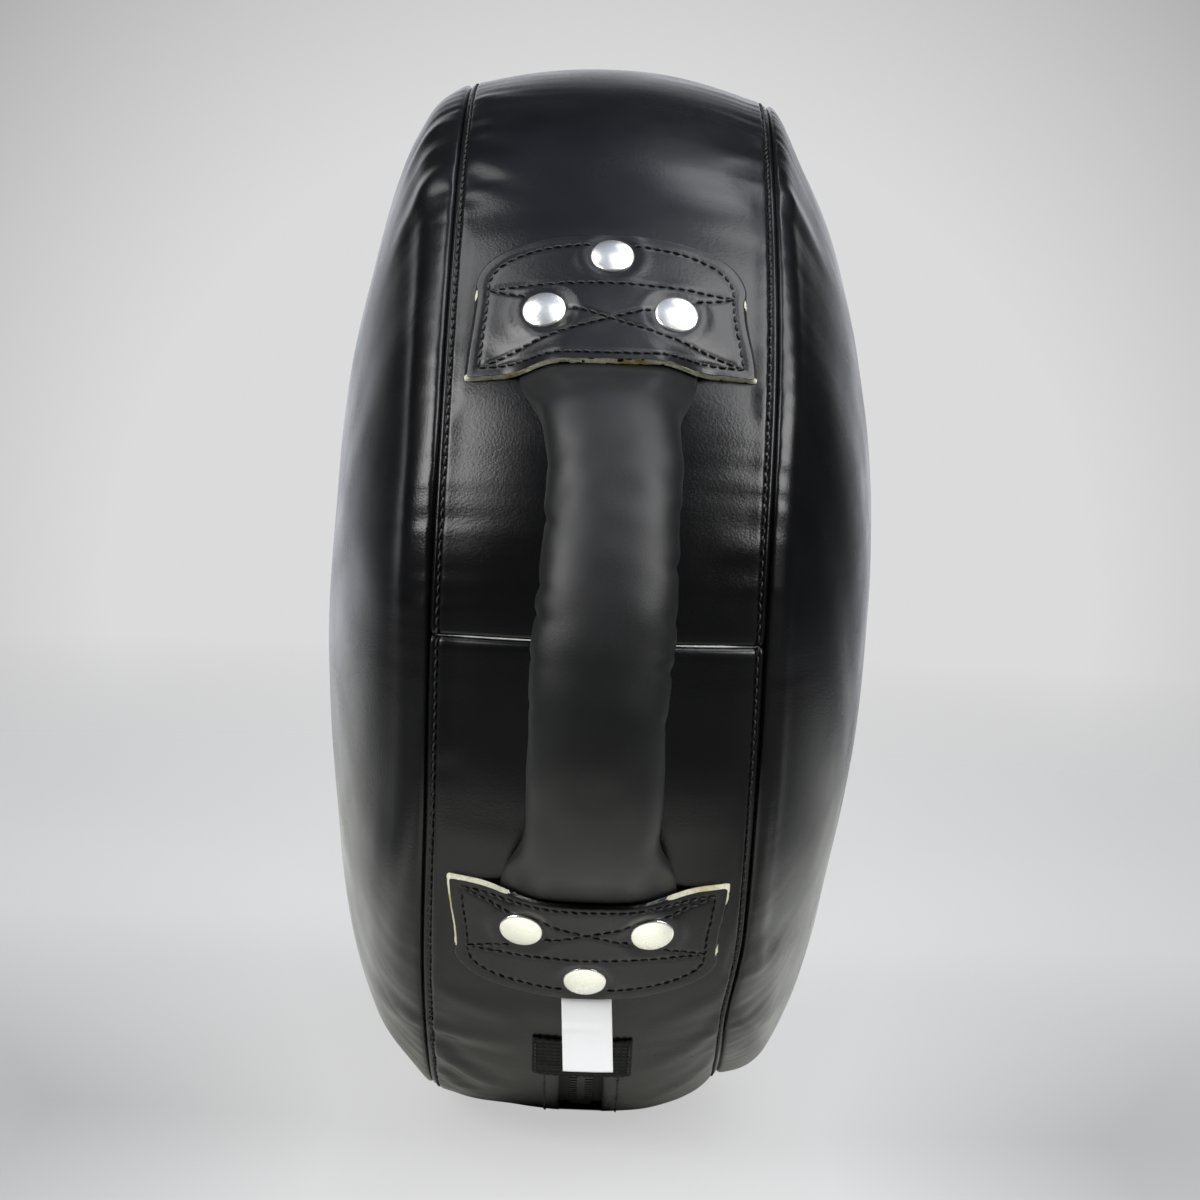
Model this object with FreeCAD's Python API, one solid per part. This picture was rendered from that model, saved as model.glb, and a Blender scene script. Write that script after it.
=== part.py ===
import FreeCAD, Part
import math
import os

from FreeCAD import Vector

# Round striking shield, stood up on its rim. Millimetres, +Z up, origin under the middle of
# the flat on which the rim stands. The disc axis runs along X, with one handle on -Y and one
# on +Y. A place on the rim is given by x, its distance from the disc axis, and phi, its angle
# in degrees: 0 at the middle of the front handle, 90 at the top, -90 at the zip below.

# Padded body
SEAM_RADIUS = 190.0  # from the disc axis to the two seams
GUSSET_WIDTH = 112.0  # between the seams
GUSSET_CROWN = 10.0  # rise of the gusset's middle over its seams
FACE_DOME = 46.0  # rise of each face over its seam
DOME_FULLNESS = 2.1  # higher is flatter in the middle of the face
DOME_SHOULDER = 1.47  # higher is rounder beside the seam
FLAT_DEPTH = 2.5  # how far the rim is pressed in where it stands
SKIN = 1.8  # leather
SEAM_ALLOWANCE = 9.0  # turned in along every seam
CROSS_SEAM_PHI = -1.3  # seam between the two gusset lengths, under each handle
CROSS_SEAM_INSET = 7.0  # the cross seam's allowance stops this far from the gusset's edges
FOAM_GAP = 0.5  # between the skin and the foam, and round what is let into it
POCKET_ROOM = 2.0  # round the backings and the ends of the zip
CORE_THICKNESS = 50.0  # firm middle disc
LAYER_THICKNESS = 25.0  # medium layer each side of it
LAYER_GAP = 0.2

# Handles
HANDLE_RISE = 62.0  # outside of the grip, over the gusset's middle
GRIP_WIDTH = 46.0
GRIP_THICKNESS = 32.0
HANDLE_COVER = 1.8
HANDLE_CORE_GAP = 0.1
GRIP_FOOT = 10.0  # how far under the patch's edge the line of the grip would meet the body
GRIP_SHAPE = 2.3  # 2 is an ellipse, higher is squarer
ARCH_SHAPE = 2.2  # higher is flatter in the middle of the grip
GRIP_WAIST = 0.04  # share by which the grip narrows between its middle and its feet
GRIP_FLARE = 0.16  # share by which it widens at its feet
GRIP_PRESSED = 0.30  # share by which it thins there
GRIP_UPRIGHT = 0.35  # share by which its sections lean less than its line does there
TONGUE_WIDTH = 60.0  # flattened end of the cover, riveted under the patch
TONGUE_SINK = 0.6  # depth to which the tongue's section is drawn before the body is cut away
TONGUE_END_PHI = 35.5
TONGUE_SHAPE = 3.0

# Patches over the handle ends
PATCH_WIDTH = 97.0
PATCH_THICKNESS = 2.7
PATCH_START_PHI = 24.6  # straight edge, over the handle
PATCH_CORNER_PHI = 34.4  # where the straight sides end
PATCH_END_PHI = 40.7  # top of the rounded edge
PATCH_CORNER_SHAPE = 2.6  # higher is squarer
PATCH_GAP = 0.2
PATCH_TRIM = 3.0  # cut away all round to make the outline
DRAPE_RISE = 14.0  # scale of the bump in the patch where it crosses the handle
DRAPE_FADE = 8.0  # degrees over which the bump falls to a third
DRAPE_SHOULDER = 10.0  # width in which the patch comes down beside the tongue
DRAPE_LAP = 3.0  # how far inside the tongue's edges it begins to come down
BACKING_WIDTH = 86.0  # leather that spreads the load inside the gusset
BACKING_THICKNESS = 2.5
BACKING_START_PHI = 26.0
BACKING_END_PHI = 40.2

# Rivets
RIVET_HEAD = 15.0
RIVET_DOME = 3.2
RIVET_EDGE = 0.6
RIVET_SINK = 0.4
RIVET_POST = 3.5
RIVET_TAIL = 0.8  # post beyond its washer
RIVET_GAP = 0.1
WASHER_DIAMETER = 10.0
WASHER_THICKNESS = 1.0
RIVET_PLACES = ((-22.4, 31.2), (22.4, 31.2), (0.0, 37.9))

# Zip
ZIP_FRONT_PHI = -57.0
ZIP_BACK_PHI = -127.0
SLOT_WIDTH = 16.0
HEM_WIDTH = 8.0  # gusset turned under along the slot
TAPE_THICKNESS = 0.8
TAPE_WIDTH = 14.1
TAPE_DEPTH = 3.8  # outer face of the tapes, under the gusset's middle
TOOTH_REACH = 4.2  # each tooth, from the zip's middle to its outer end
TOOTH_HOOK = 1.4  # part of a tooth past the middle
TOOTH_HEIGHT = 3.0
TOOTH_PITCH = 3.2
TOOTH_GAP = 0.15
STOP_LENGTH = 3.0
STOP_INSET = 1.0  # of each top stop, from the zip's middle
TEETH_HELD = 1.5  # pitches of the chain inside the closed slider
END_TAB_WIDTH = 36.0
END_TAB_LENGTH = 28.0
END_TAB_THICKNESS = 1.5
SLIDER_WIDTH = 12.0
SLIDER_LENGTH = 16.0
SLIDER_PLATE = 1.2
SLIDER_GAP = 0.35  # over and under the teeth
POST_WIDTH = 2.0  # wedge between the slider's plates, past the last tooth
POST_LENGTH = 2.6
WELD = 0.1  # overlap of the slider's plates, walls, wedge and bail
SLIDER_REST_PHI = -122.5
SLIDER_TRAVEL = 59.0  # degrees, from closed to open
BAIL_WIDTH = 2.2
BAIL_LENGTH = 12.0
BAIL_WALL = 1.1
PIN_DIAMETER = 1.6  # crossbar of the pull tab, held under the bail
PIN_GAP = 0.5
TAB_WIDTH = 7.0
TAB_LENGTH = 19.0
TAB_THICKNESS = 1.2
TAB_ARM = 1.2
TAB_HOLE = 3.0
TAB_CORNER = 2.5

# Label
LABEL_WIDTH = 17.5
LABEL_LENGTH = 26.0
LABEL_THICKNESS = 0.3
LABEL_GAP = 0.4
LABEL_PHI = -41.1

HALF_WIDTH = GUSSET_WIDTH / 2
CROWN_ARC = (HALF_WIDTH ** 2 + GUSSET_CROWN ** 2) / (2 * GUSSET_CROWN)
RIM_RADIUS = SEAM_RADIUS + GUSSET_CROWN
CROWN_CENTRE = RIM_RADIUS - CROWN_ARC
CENTRE_Z = RIM_RADIUS - FLAT_DEPTH
HANDLE_REACH = RIM_RADIUS + HANDLE_RISE
TAPE_RADIUS = RIM_RADIUS - TAPE_DEPTH
CENTRE = Vector(0, 0, CENTRE_Z)
TURN = Vector(-1, 0, 0)
ALL_ROUND = (0.0, 360.0)
SECTION_POINTS = 20
WELL_CLEAR = 30.0  # how far large cutting tools pass beyond what they cut
PAST = 1.0  # the same for small ones


# ---- Places and profiles

def rim_point(x, radius, phi):
    angle = math.radians(phi)
    return Vector(x, -radius * math.cos(angle), CENTRE_Z + radius * math.sin(angle))


def degrees_along(length, radius):
    return math.degrees(length / radius)


def turned(shape, phi):
    moved = shape.copy()
    moved.rotate(CENTRE, TURN, phi)
    return moved


def crown(x, depth=0.0):
    """Radius of the gusset, or of a surface that lies depth under it, at x."""
    return CROWN_CENTRE + math.sqrt((CROWN_ARC - depth) ** 2 - x ** 2)


def line(start, end):
    return Part.makeLine(rim_point(*start, 0), rim_point(*end, 0))


def crown_edge(x0, x1, depth):
    points = [rim_point(x, crown(x, depth), 0) for x in (x0, (x0 + x1) / 2, x1)]
    return Part.Arc(*points).toShape()


def swept(edges, phis):
    """Solid that a closed profile, drawn at phi = 0, sweeps round the disc axis."""
    face = turned(Part.Face(Part.Wire(edges)), phis[0])
    return face.revolve(CENTRE, TURN, phis[1] - phis[0])


def polygon(points):
    return [line(a, b) for a, b in zip(points, points[1:] + points[:1])]


def ring(x0, x1, r0, r1, phis=ALL_ROUND):
    return swept(polygon([(x0, r0), (x1, r0), (x1, r1), (x0, r1)]), phis)


def band(x0, x1, depth0, depth1, phis=ALL_ROUND):
    """Strip between two surfaces that lie depth0 and depth1 under the gusset."""
    corners = [(x, crown(x, depth)) for depth in (depth0, depth1) for x in (x0, x1)]
    edges = [
        crown_edge(x0, x1, depth0), line(corners[1], corners[3]),
        crown_edge(x0, x1, depth1), line(corners[2], corners[0]),
    ]
    return swept(Part.sortEdges(edges)[0], phis)


def above(height):
    size = 4 * SEAM_RADIUS
    return Part.makeBox(size, size, size, Vector(-size / 2, -size / 2, height))


def cut_all(shape, tools):
    return shape.cut(Part.makeCompound(tools))


def fused(shapes):
    return shapes[0].multiFuse(shapes[1:]).removeSplitter()


def flipped_down(shape):
    return shape.mirror(CENTRE, Vector(0, 0, 1))


def flipped_back(shape):
    return shape.mirror(CENTRE, Vector(0, 1, 0))


def flipped_side(shape):
    return shape.mirror(CENTRE, Vector(1, 0, 0))


# ---- Faces

def dome_point(turn, depth):
    """Point (x, radius) of a face, moved depth inward; turn is 0 at the seam, 90 in the middle."""

    def surface(angle):
        angle = math.radians(angle)
        x = HALF_WIDTH + FACE_DOME * math.sin(angle) ** (2 / DOME_SHOULDER)
        return x, SEAM_RADIUS * math.cos(angle) ** (2 / DOME_FULLNESS)

    if turn <= 0:
        return HALF_WIDTH, SEAM_RADIUS - depth
    if turn >= 90:
        return HALF_WIDTH + FACE_DOME - depth, 0.0
    step = min(0.01, turn / 2, (90 - turn) / 2)
    before, after = surface(turn - step), surface(turn + step)
    along = (after[0] - before[0], after[1] - before[1])
    length = math.hypot(*along)
    x, radius = surface(turn)
    return x + depth * along[1] / length, radius - depth * along[0] / length


def dome_edge(depth, x_start):
    """Curve of a face from x_start to the disc axis, depth under the outer surface."""
    low, high = 0.0, 45.0
    while high - low > 1e-6:
        middle = (low + high) / 2
        low, high = (middle, high) if dome_point(middle, depth)[0] < x_start else (low, middle)
    steps, past = 10, 3
    turns = [high + (90 - high) * i / steps for i in range(steps + 1)]
    points = [dome_point(turn, depth) for turn in turns]
    points[0] = (x_start, points[0][1])
    beyond = [(x, -radius) for x, radius in reversed(points[-1 - past:-1])]
    curve = Part.BSplineCurve()
    curve.interpolate([rim_point(x, radius, 0) for x, radius in points + beyond])
    curve.segment(curve.FirstParameter, curve.parameter(rim_point(*points[-1], 0)))
    return curve.toShape(), points[0]


def face_panel():
    outer, seam = dome_edge(0.0, HALF_WIDTH)
    inner, inner_start = dome_edge(SKIN, HALF_WIDTH + SKIN)
    turned_in = SEAM_RADIUS - SEAM_ALLOWANCE
    top = HALF_WIDTH + FACE_DOME
    edges = [
        outer, line((top, 0), (top - SKIN, 0)), inner,
        line(inner_start, (HALF_WIDTH + SKIN, turned_in)),
        line((HALF_WIDTH + SKIN, turned_in), (HALF_WIDTH, turned_in)),
        line((HALF_WIDTH, turned_in), seam),
    ]
    return swept(Part.sortEdges(edges)[0], ALL_ROUND)


# ---- Gusset

def gusset_length(phis):
    """Outside of one length of the gusset, and the hollow that leaves its skin and allowances."""
    turned_in = SEAM_RADIUS - SEAM_ALLOWANCE
    inside = HALF_WIDTH - SKIN
    outer = swept(Part.sortEdges([
        line((-HALF_WIDTH, turned_in), (-HALF_WIDTH, SEAM_RADIUS)),
        crown_edge(-HALF_WIDTH, HALF_WIDTH, 0.0),
        line((HALF_WIDTH, SEAM_RADIUS), (HALF_WIDTH, turned_in)),
        line((HALF_WIDTH, turned_in), (-HALF_WIDTH, turned_in)),
    ])[0], phis)
    hollow = swept(Part.sortEdges([
        line((-inside, turned_in - PAST), (-inside, crown(inside, SKIN))),
        crown_edge(-inside, inside, SKIN),
        line((inside, crown(inside, SKIN)), (inside, turned_in - PAST)),
        line((inside, turned_in - PAST), (-inside, turned_in - PAST)),
    ])[0], phis)
    return outer, hollow


def cross_allowances(phis):
    """The gusset's turned-in ends at its two cross seams."""
    half = HALF_WIDTH - CROSS_SEAM_INSET
    step = degrees_along(SKIN, SEAM_RADIUS)
    starts = (phis[0], phis[1] - step)
    return [
        band(-half, half, SKIN / 2, SKIN + SEAM_ALLOWANCE, (phi, phi + step)) for phi in starts
    ]


def zip_slot():
    half = SLOT_WIDTH / 2
    outside = RIM_RADIUS + WELL_CLEAR
    slot = ring(-half, half, TAPE_RADIUS - WELL_CLEAR, outside, (ZIP_BACK_PHI, ZIP_FRONT_PHI))
    room = degrees_along(HEM_WIDTH, SEAM_RADIUS)
    edge = zip_tape_edge() + FOAM_GAP
    tapes = ring(-edge, edge, TAPE_RADIUS - SKIN, TAPE_RADIUS,
                 (ZIP_BACK_PHI - room, ZIP_FRONT_PHI + room))
    return [slot, tapes]


def zip_hems(outer):
    hems = []
    for side in (-1, 1):
        x0, x1 = sorted((side * SLOT_WIDTH / 2, side * (SLOT_WIDTH / 2 + HEM_WIDTH)))
        strip = ring(x0, x1, TAPE_RADIUS, RIM_RADIUS + WELL_CLEAR,
                     (ZIP_BACK_PHI, ZIP_FRONT_PHI))
        hems.append(strip.common(outer))
    return hems


def gusset_panels():
    front, back = CROSS_SEAM_PHI, 180 - CROSS_SEAM_PHI
    outer, hollow = gusset_length((front, back))
    upper = fused([outer.cut(hollow)] + cross_allowances((front, back)))
    outer, hollow = gusset_length((back, front + 360))
    outer = outer.common(above(0))
    shell = outer.cut(hollow.common(above(SKIN)))
    lower = fused([shell] + zip_hems(outer) + cross_allowances((back, front + 360)))
    return upper, cut_all(lower, zip_slot())


# ---- Foam

def foam_pockets():
    """Room in the foam for the backings, rivets, zip and turned-in cross seams."""
    depth = SKIN + BACKING_THICKNESS + WASHER_THICKNESS + 2 * RIVET_TAIL + 2 * FOAM_GAP
    half = BACKING_WIDTH / 2 + POCKET_ROOM
    room = degrees_along(POCKET_ROOM, SEAM_RADIUS)
    phis = (BACKING_START_PHI - room, BACKING_END_PHI + room)
    pocket = band(-half, half, -FOAM_GAP, depth, phis)
    pockets = [pocket, flipped_down(pocket)]
    pockets += [flipped_back(shape) for shape in pockets]
    edge = zip_tape_edge() + 2 * FOAM_GAP
    end = degrees_along(HEM_WIDTH + POCKET_ROOM, SEAM_RADIUS)
    slider_depth = TOOTH_HEIGHT + SLIDER_GAP + SLIDER_PLATE + FOAM_GAP
    pockets.append(ring(-edge, edge, TAPE_RADIUS - slider_depth, TAPE_RADIUS + WELL_CLEAR,
                        (ZIP_BACK_PHI - end, ZIP_FRONT_PHI + end)))
    room = degrees_along(SKIN + FOAM_GAP, SEAM_RADIUS)
    half = HALF_WIDTH - CROSS_SEAM_INSET + FOAM_GAP
    for phi in (CROSS_SEAM_PHI, 180 - CROSS_SEAM_PHI):
        pockets.append(band(-half, half, -FOAM_GAP, SKIN + SEAM_ALLOWANCE + FOAM_GAP,
                            (phi - room, phi + room)))
    return pockets


def foam_disc(x0, x1, pockets):
    depth = SKIN + FOAM_GAP
    edges = [
        line((x0, 0), (x0, crown(x0, depth))), crown_edge(x0, x1, depth),
        line((x1, crown(x1, depth)), (x1, 0)), line((x1, 0), (x0, 0)),
    ]
    disc = swept(edges, ALL_ROUND).common(above(depth))
    return cut_all(disc, pockets)


def foam_crown(x0):
    """Soft domed foam behind a face, grooved for the seam allowances."""
    depth = SKIN + FOAM_GAP
    groove = SEAM_RADIUS - SEAM_ALLOWANCE - FOAM_GAP
    near, far = HALF_WIDTH - depth, HALF_WIDTH + depth
    dome, start = dome_edge(depth, far)
    top = HALF_WIDTH + FACE_DOME - depth
    edges = [
        line((x0, 0), (x0, crown(x0, depth))), crown_edge(x0, near, depth),
        line((near, crown(near, depth)), (near, groove)), line((near, groove), (far, groove)),
        line((far, groove), start), dome, line((top, 0), (x0, 0)),
    ]
    return swept(Part.sortEdges(edges)[0], ALL_ROUND)


# ---- Handles

def drape_height(phi):
    """Height of the tongue's top over the gusset: high at the handle, nothing at the far edge."""
    span = PATCH_END_PHI - PATCH_START_PHI
    fall = math.exp(-(phi - PATCH_START_PHI) / DRAPE_FADE)
    return DRAPE_RISE * (fall - math.exp(-span / DRAPE_FADE))


def superellipse(angle, shape):
    cosine, sine = math.cos(angle), math.sin(angle)
    return (
        math.copysign(abs(cosine) ** (2 / shape), cosine),
        math.copysign(abs(sine) ** (2 / shape), sine),
    )


def section(points):
    curve = Part.BSplineCurve()
    curve.interpolate(Points=points, PeriodicFlag=True)
    return Part.Wire(curve.toShape())


def handle_half_span():
    """Height over the disc axis at which the middle line of the grip would meet the body."""
    return GRIP_FOOT + SEAM_RADIUS * math.sin(math.radians(PATCH_START_PHI))


def grip_section(share, inset):
    """Section across the grip's curved middle line, at a share of its half span."""
    half_span = handle_half_span()
    height, fall = share * half_span, abs(share)
    foot = SEAM_RADIUS - TONGUE_SINK
    rise = HANDLE_REACH - GRIP_THICKNESS / 2 - foot
    reach = foot + rise * (1 - fall ** ARCH_SHAPE)
    slope = rise * ARCH_SHAPE * fall ** (ARCH_SHAPE - 1) / half_span
    lean = math.copysign(math.atan(slope) * (1 - GRIP_UPRIGHT * fall ** 4), share)
    waist = GRIP_WAIST * math.sin(math.pi * fall)
    half_width = GRIP_WIDTH / 2 * (1 - waist + GRIP_FLARE * fall ** 8)
    half_thick = GRIP_THICKNESS / 2 * (1 - GRIP_PRESSED * fall ** 4)
    points = []
    for i in range(SECTION_POINTS):
        across, out = superellipse(2 * math.pi * i / SECTION_POINTS, GRIP_SHAPE)
        out *= half_thick - inset
        points.append(Vector(across * (half_width - inset), -(reach + out * math.cos(lean)),
                             CENTRE_Z + height + out * math.sin(lean)))
    return section(points)


def tongue_section(phi):
    top = drape_height(phi)
    middle, half_thick = (top - TONGUE_SINK) / 2, (top + TONGUE_SINK) / 2
    points = []
    for i in range(SECTION_POINTS):
        across, out = superellipse(2 * math.pi * i / SECTION_POINTS, TONGUE_SHAPE)
        x = across * TONGUE_WIDTH / 2
        points.append(rim_point(x, crown(x) + middle + half_thick * out, phi))
    return section(points)


def both_halves(wires):
    """Solid through sections that start just below the disc axis, and its reflection."""
    half = Part.makeLoft(wires, True, False).common(above(CENTRE_Z))
    return fused([half, flipped_down(half)])


def handle_shapes(body):
    """Cover with its hollow and tongues, and the core that fills it."""
    shares = (-0.35, 0.0, 0.35, 0.6, 0.78)
    steps = 3
    reach = TONGUE_END_PHI - PATCH_START_PHI
    tongue = [tongue_section(PATCH_START_PHI + reach * i / steps) for i in range(steps + 1)]
    outer = both_halves([grip_section(share, 0.0) for share in shares] + tongue)
    hollow = both_halves([grip_section(share, HANDLE_COVER) for share in shares])
    inset = HANDLE_COVER + HANDLE_CORE_GAP
    core = both_halves([grip_section(share, inset) for share in shares])
    end = shares[-1] * handle_half_span() - HANDLE_CORE_GAP
    middle = Part.makeBox(2 * GRIP_WIDTH, HANDLE_REACH, 2 * end,
                          Vector(-GRIP_WIDTH, -HANDLE_REACH, CENTRE_Z - end))
    return outer.cut(body).cut(hollow), core.common(middle)


# ---- Patches and rivets

def drape_radius(x, phi):
    """Radius of a patch's underside."""
    share = (abs(x) - TONGUE_WIDTH / 2 + DRAPE_LAP) / (DRAPE_SHOULDER + DRAPE_LAP)
    share = min(max(share, 0.0), 1.0)
    bump = drape_height(phi) * (1 + math.cos(math.pi * share)) / 2
    return crown(x) + bump + PATCH_GAP


def patch_section(phi):
    half = PATCH_WIDTH / 2 + PATCH_TRIM
    count = 26
    xs = [half * (2 * i / count - 1) for i in range(count + 1)]
    under = [rim_point(x, drape_radius(x, phi), phi) for x in xs]
    over = [rim_point(x, drape_radius(x, phi) + PATCH_THICKNESS, phi) for x in xs]
    edges = []
    for points in (under, over):
        curve = Part.BSplineCurve()
        curve.interpolate(Points=points)
        edges.append(curve.toShape())
    sides = [Part.makeLine(under[-1], over[-1]), Part.makeLine(over[0], under[0])]
    return Part.Wire([edges[0], sides[0], edges[1], sides[1]])


def patch_outline(phi_middle):
    """Prism of the patch's outline: square near the handle, rounded at the far side."""
    radius = RIM_RADIUS
    near = -WELL_CLEAR - radius * math.sin(math.radians(phi_middle - PATCH_START_PHI))
    corner = radius * math.sin(math.radians(PATCH_CORNER_PHI - phi_middle))
    end = radius * math.sin(math.radians(PATCH_END_PHI - phi_middle))
    half = PATCH_WIDTH / 2
    count = 12

    def place(x, along):
        return Vector(x, -radius - WELL_CLEAR, CENTRE_Z + along)

    points = []
    for i in range(count + 1):
        across, out = superellipse(math.pi * i / count, PATCH_CORNER_SHAPE)
        points.append(place(half * across, corner + (end - corner) * max(out, 0.0)))
    curve = Part.BSplineCurve()
    up = Vector(0, 0, 1)
    curve.interpolate(Points=points, InitialTangent=up, FinalTangent=-up)
    edges = [
        curve.toShape(), Part.makeLine(points[-1], place(-half, near)),
        Part.makeLine(place(-half, near), place(half, near)),
        Part.makeLine(place(half, near), points[0]),
    ]
    prism = Part.Face(Part.Wire(edges)).extrude(Vector(0, 2 * WELL_CLEAR + GUSSET_CROWN, 0))
    return turned(prism, phi_middle)


def patch_blank():
    steps = 8
    span = PATCH_END_PHI + degrees_along(PATCH_TRIM, RIM_RADIUS) - PATCH_START_PHI
    wires = [patch_section(PATCH_START_PHI + span * i / steps) for i in range(steps + 1)]
    sheet = Part.makeLoft(wires, True, False)
    return sheet.common(patch_outline((PATCH_START_PHI + PATCH_END_PHI) / 2))


def rivet_place(x, phi):
    """Where a rivet's head sits, the way it points, and how much it clamps."""
    top = drape_radius(x, phi) + PATCH_THICKNESS

    def over(dx, dphi):
        return rim_point(x + dx, drape_radius(x + dx, phi + dphi) + PATCH_THICKNESS, phi + dphi)

    outward = (over(0.1, 0) - over(-0.1, 0)).cross(over(0, 0.05) - over(0, -0.05)).normalize()
    if outward.dot(rim_point(x, top, phi) - CENTRE) < 0:
        outward = -outward
    origin = over(0, 0) - outward * RIVET_SINK
    clamped = top - crown(x, SKIN + BACKING_THICKNESS) - RIVET_SINK
    return FreeCAD.Placement(origin, FreeCAD.Rotation(Vector(0, 0, 1), outward)), clamped


def post_of(radius, top, bottom):
    return Part.makeCylinder(radius, top - bottom, Vector(0, 0, bottom))


def rivet_pieces(place, clamped):
    """Rivet, washer, and the tools that make their hole, seat and washer seat."""
    half = RIVET_HEAD / 2
    rim = Vector(half, 0, RIVET_EDGE)
    peak = Vector(0, 0, RIVET_EDGE + RIVET_DOME)
    ball = (half ** 2 + RIVET_DOME ** 2) / (2 * RIVET_DOME)
    angle = math.asin(half / ball) / 2
    way = Vector(ball * math.sin(angle), 0, peak.z - ball + ball * math.cos(angle))
    foot = -clamped - WASHER_THICKNESS - RIVET_TAIL
    post = RIVET_POST / 2
    corners = [Vector(half, 0, 0), Vector(post, 0, 0), Vector(post, 0, foot), Vector(0, 0, foot)]
    edges = [Part.Arc(peak, way, rim).toShape(), Part.makeLine(rim, corners[0])]
    edges += [Part.makeLine(a, b) for a, b in zip(corners, corners[1:])]
    edges.append(Part.makeLine(corners[-1], peak))
    rivet = Part.Face(Part.Wire(edges)).revolve(Vector(0, 0, 0), Vector(0, 0, 1), 360)
    washer = post_of(WASHER_DIAMETER / 2, -clamped, -clamped - WASHER_THICKNESS)
    washer = washer.cut(post_of(post + RIVET_GAP, 0, foot))
    hole = post_of(post + RIVET_GAP, WELL_CLEAR, foot - PAST)
    seat = post_of(half + RIVET_GAP, WELL_CLEAR, 0)
    washer_seat = post_of(WASHER_DIAMETER / 2 + RIVET_GAP, -clamped, foot - PAST)
    shapes = [rivet, washer, hole, seat, washer_seat]
    for shape in shapes:
        shape.Placement = place
    return shapes


def backing_blank():
    half = BACKING_WIDTH / 2
    phis = (BACKING_START_PHI, BACKING_END_PHI)
    return band(-half, half, SKIN, SKIN + BACKING_THICKNESS, phis)


# ---- Zip

def zip_tape_edge():
    return TOOTH_REACH + TAPE_WIDTH


def tape_radii():
    return TAPE_RADIUS - TAPE_THICKNESS, TAPE_RADIUS


def teeth_radii():
    middle = TAPE_RADIUS - TAPE_THICKNESS / 2
    return middle - TOOTH_HEIGHT / 2, middle + TOOTH_HEIGHT / 2


def zip_tape(side):
    past = degrees_along(HEM_WIDTH, SEAM_RADIUS)
    x0, x1 = sorted((side * TOOTH_REACH, side * zip_tape_edge()))
    return ring(x0, x1, *tape_radii(), (ZIP_BACK_PHI - past, ZIP_FRONT_PHI + past))


def zip_box(x0, x1, r0, r1, phi, length):
    """Small block on the zip, centred on phi and length long round the rim."""
    size = Vector(x1 - x0, r1 - r0, length)
    corner = Vector(x0, -r1, CENTRE_Z - length / 2)
    return turned(Part.makeBox(size.x, size.y, size.z, corner), phi)


def chain_ends():
    """The angles between which the teeth lie, from the closed slider to the bottom stop."""
    stop = degrees_along(STOP_LENGTH, TAPE_RADIUS)
    behind = degrees_along(SLIDER_LENGTH / 2 - TEETH_HELD * TOOTH_PITCH, TAPE_RADIUS)
    return SLIDER_REST_PHI - behind, ZIP_FRONT_PHI - 2 * stop


def zip_teeth(side):
    first, last = chain_ends()
    pitch = degrees_along(TOOTH_PITCH, TAPE_RADIUS)
    length = TOOTH_PITCH / 2 - TOOTH_GAP
    start = first + pitch * (0.5 if side > 0 else 0.0)
    x0, x1 = sorted((-side * TOOTH_HOOK, side * TOOTH_REACH))
    count = int((last - first) / pitch)
    return [zip_box(x0, x1, *teeth_radii(), start + pitch * i, length) for i in range(count)]


def zip_top_stops():
    phi = SLIDER_REST_PHI - degrees_along(SLIDER_LENGTH / 2 + STOP_LENGTH, TAPE_RADIUS)
    stops = []
    for side in (-1, 1):
        x0, x1 = sorted((side * STOP_INSET, side * TOOTH_REACH))
        stops.append(zip_box(x0, x1, *teeth_radii(), phi, STOP_LENGTH))
    return stops


def zip_bottom_stop():
    phi = chain_ends()[1] + degrees_along(STOP_LENGTH, TAPE_RADIUS)
    return zip_box(-TOOTH_REACH, TOOTH_REACH, *teeth_radii(), phi, STOP_LENGTH)


def zip_end_tab(near, way):
    phis = sorted((near, near + way * degrees_along(END_TAB_LENGTH, RIM_RADIUS)))
    half = END_TAB_WIDTH / 2
    return band(-half, half, -END_TAB_THICKNESS, 0.0, phis)


def slider_heights():
    """Radii of the slider's inner plate, its outer plate and the pin of its pull tab."""
    inside, outside = teeth_radii()
    under = inside - SLIDER_GAP
    over = outside + SLIDER_GAP
    pin = over + SLIDER_PLATE + PIN_GAP + PIN_DIAMETER / 2
    return under, over, pin


def zip_slider():
    under, over, pin = slider_heights()
    tape_in, tape_out = tape_radii()
    half = SLIDER_WIDTH / 2
    wall = half - TOOTH_REACH - SLIDER_GAP
    pieces = [
        zip_box(-half, half, over, over + SLIDER_PLATE, 0, SLIDER_LENGTH),
        zip_box(-half, half, under - SLIDER_PLATE, under, 0, SLIDER_LENGTH),
    ]
    for side in (-1, 1):
        x0, x1 = sorted((side * half, side * (half - wall)))
        pieces.append(zip_box(x0, x1, tape_out + SLIDER_GAP, over + WELD, 0, SLIDER_LENGTH))
        pieces.append(zip_box(x0, x1, under - WELD, tape_in - SLIDER_GAP, 0, SLIDER_LENGTH))
    post = Part.makeBox(POST_WIDTH, over - under + 2 * WELD, POST_LENGTH, Vector(
        -POST_WIDTH / 2, -over - WELD, CENTRE_Z - SLIDER_LENGTH / 2))
    eye = pin + PIN_DIAMETER / 2 + RIVET_GAP
    bail = zip_box(-BAIL_WIDTH / 2, BAIL_WIDTH / 2, over + WELD, eye + BAIL_WALL, 0, BAIL_LENGTH)
    hole = zip_box(-BAIL_WIDTH, BAIL_WIDTH, over + SLIDER_PLATE, eye, 0,
                   BAIL_LENGTH - 2 * BAIL_WALL)
    pieces += [post, bail.cut(hole)]
    return turned(fused(pieces), SLIDER_REST_PHI)


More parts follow.
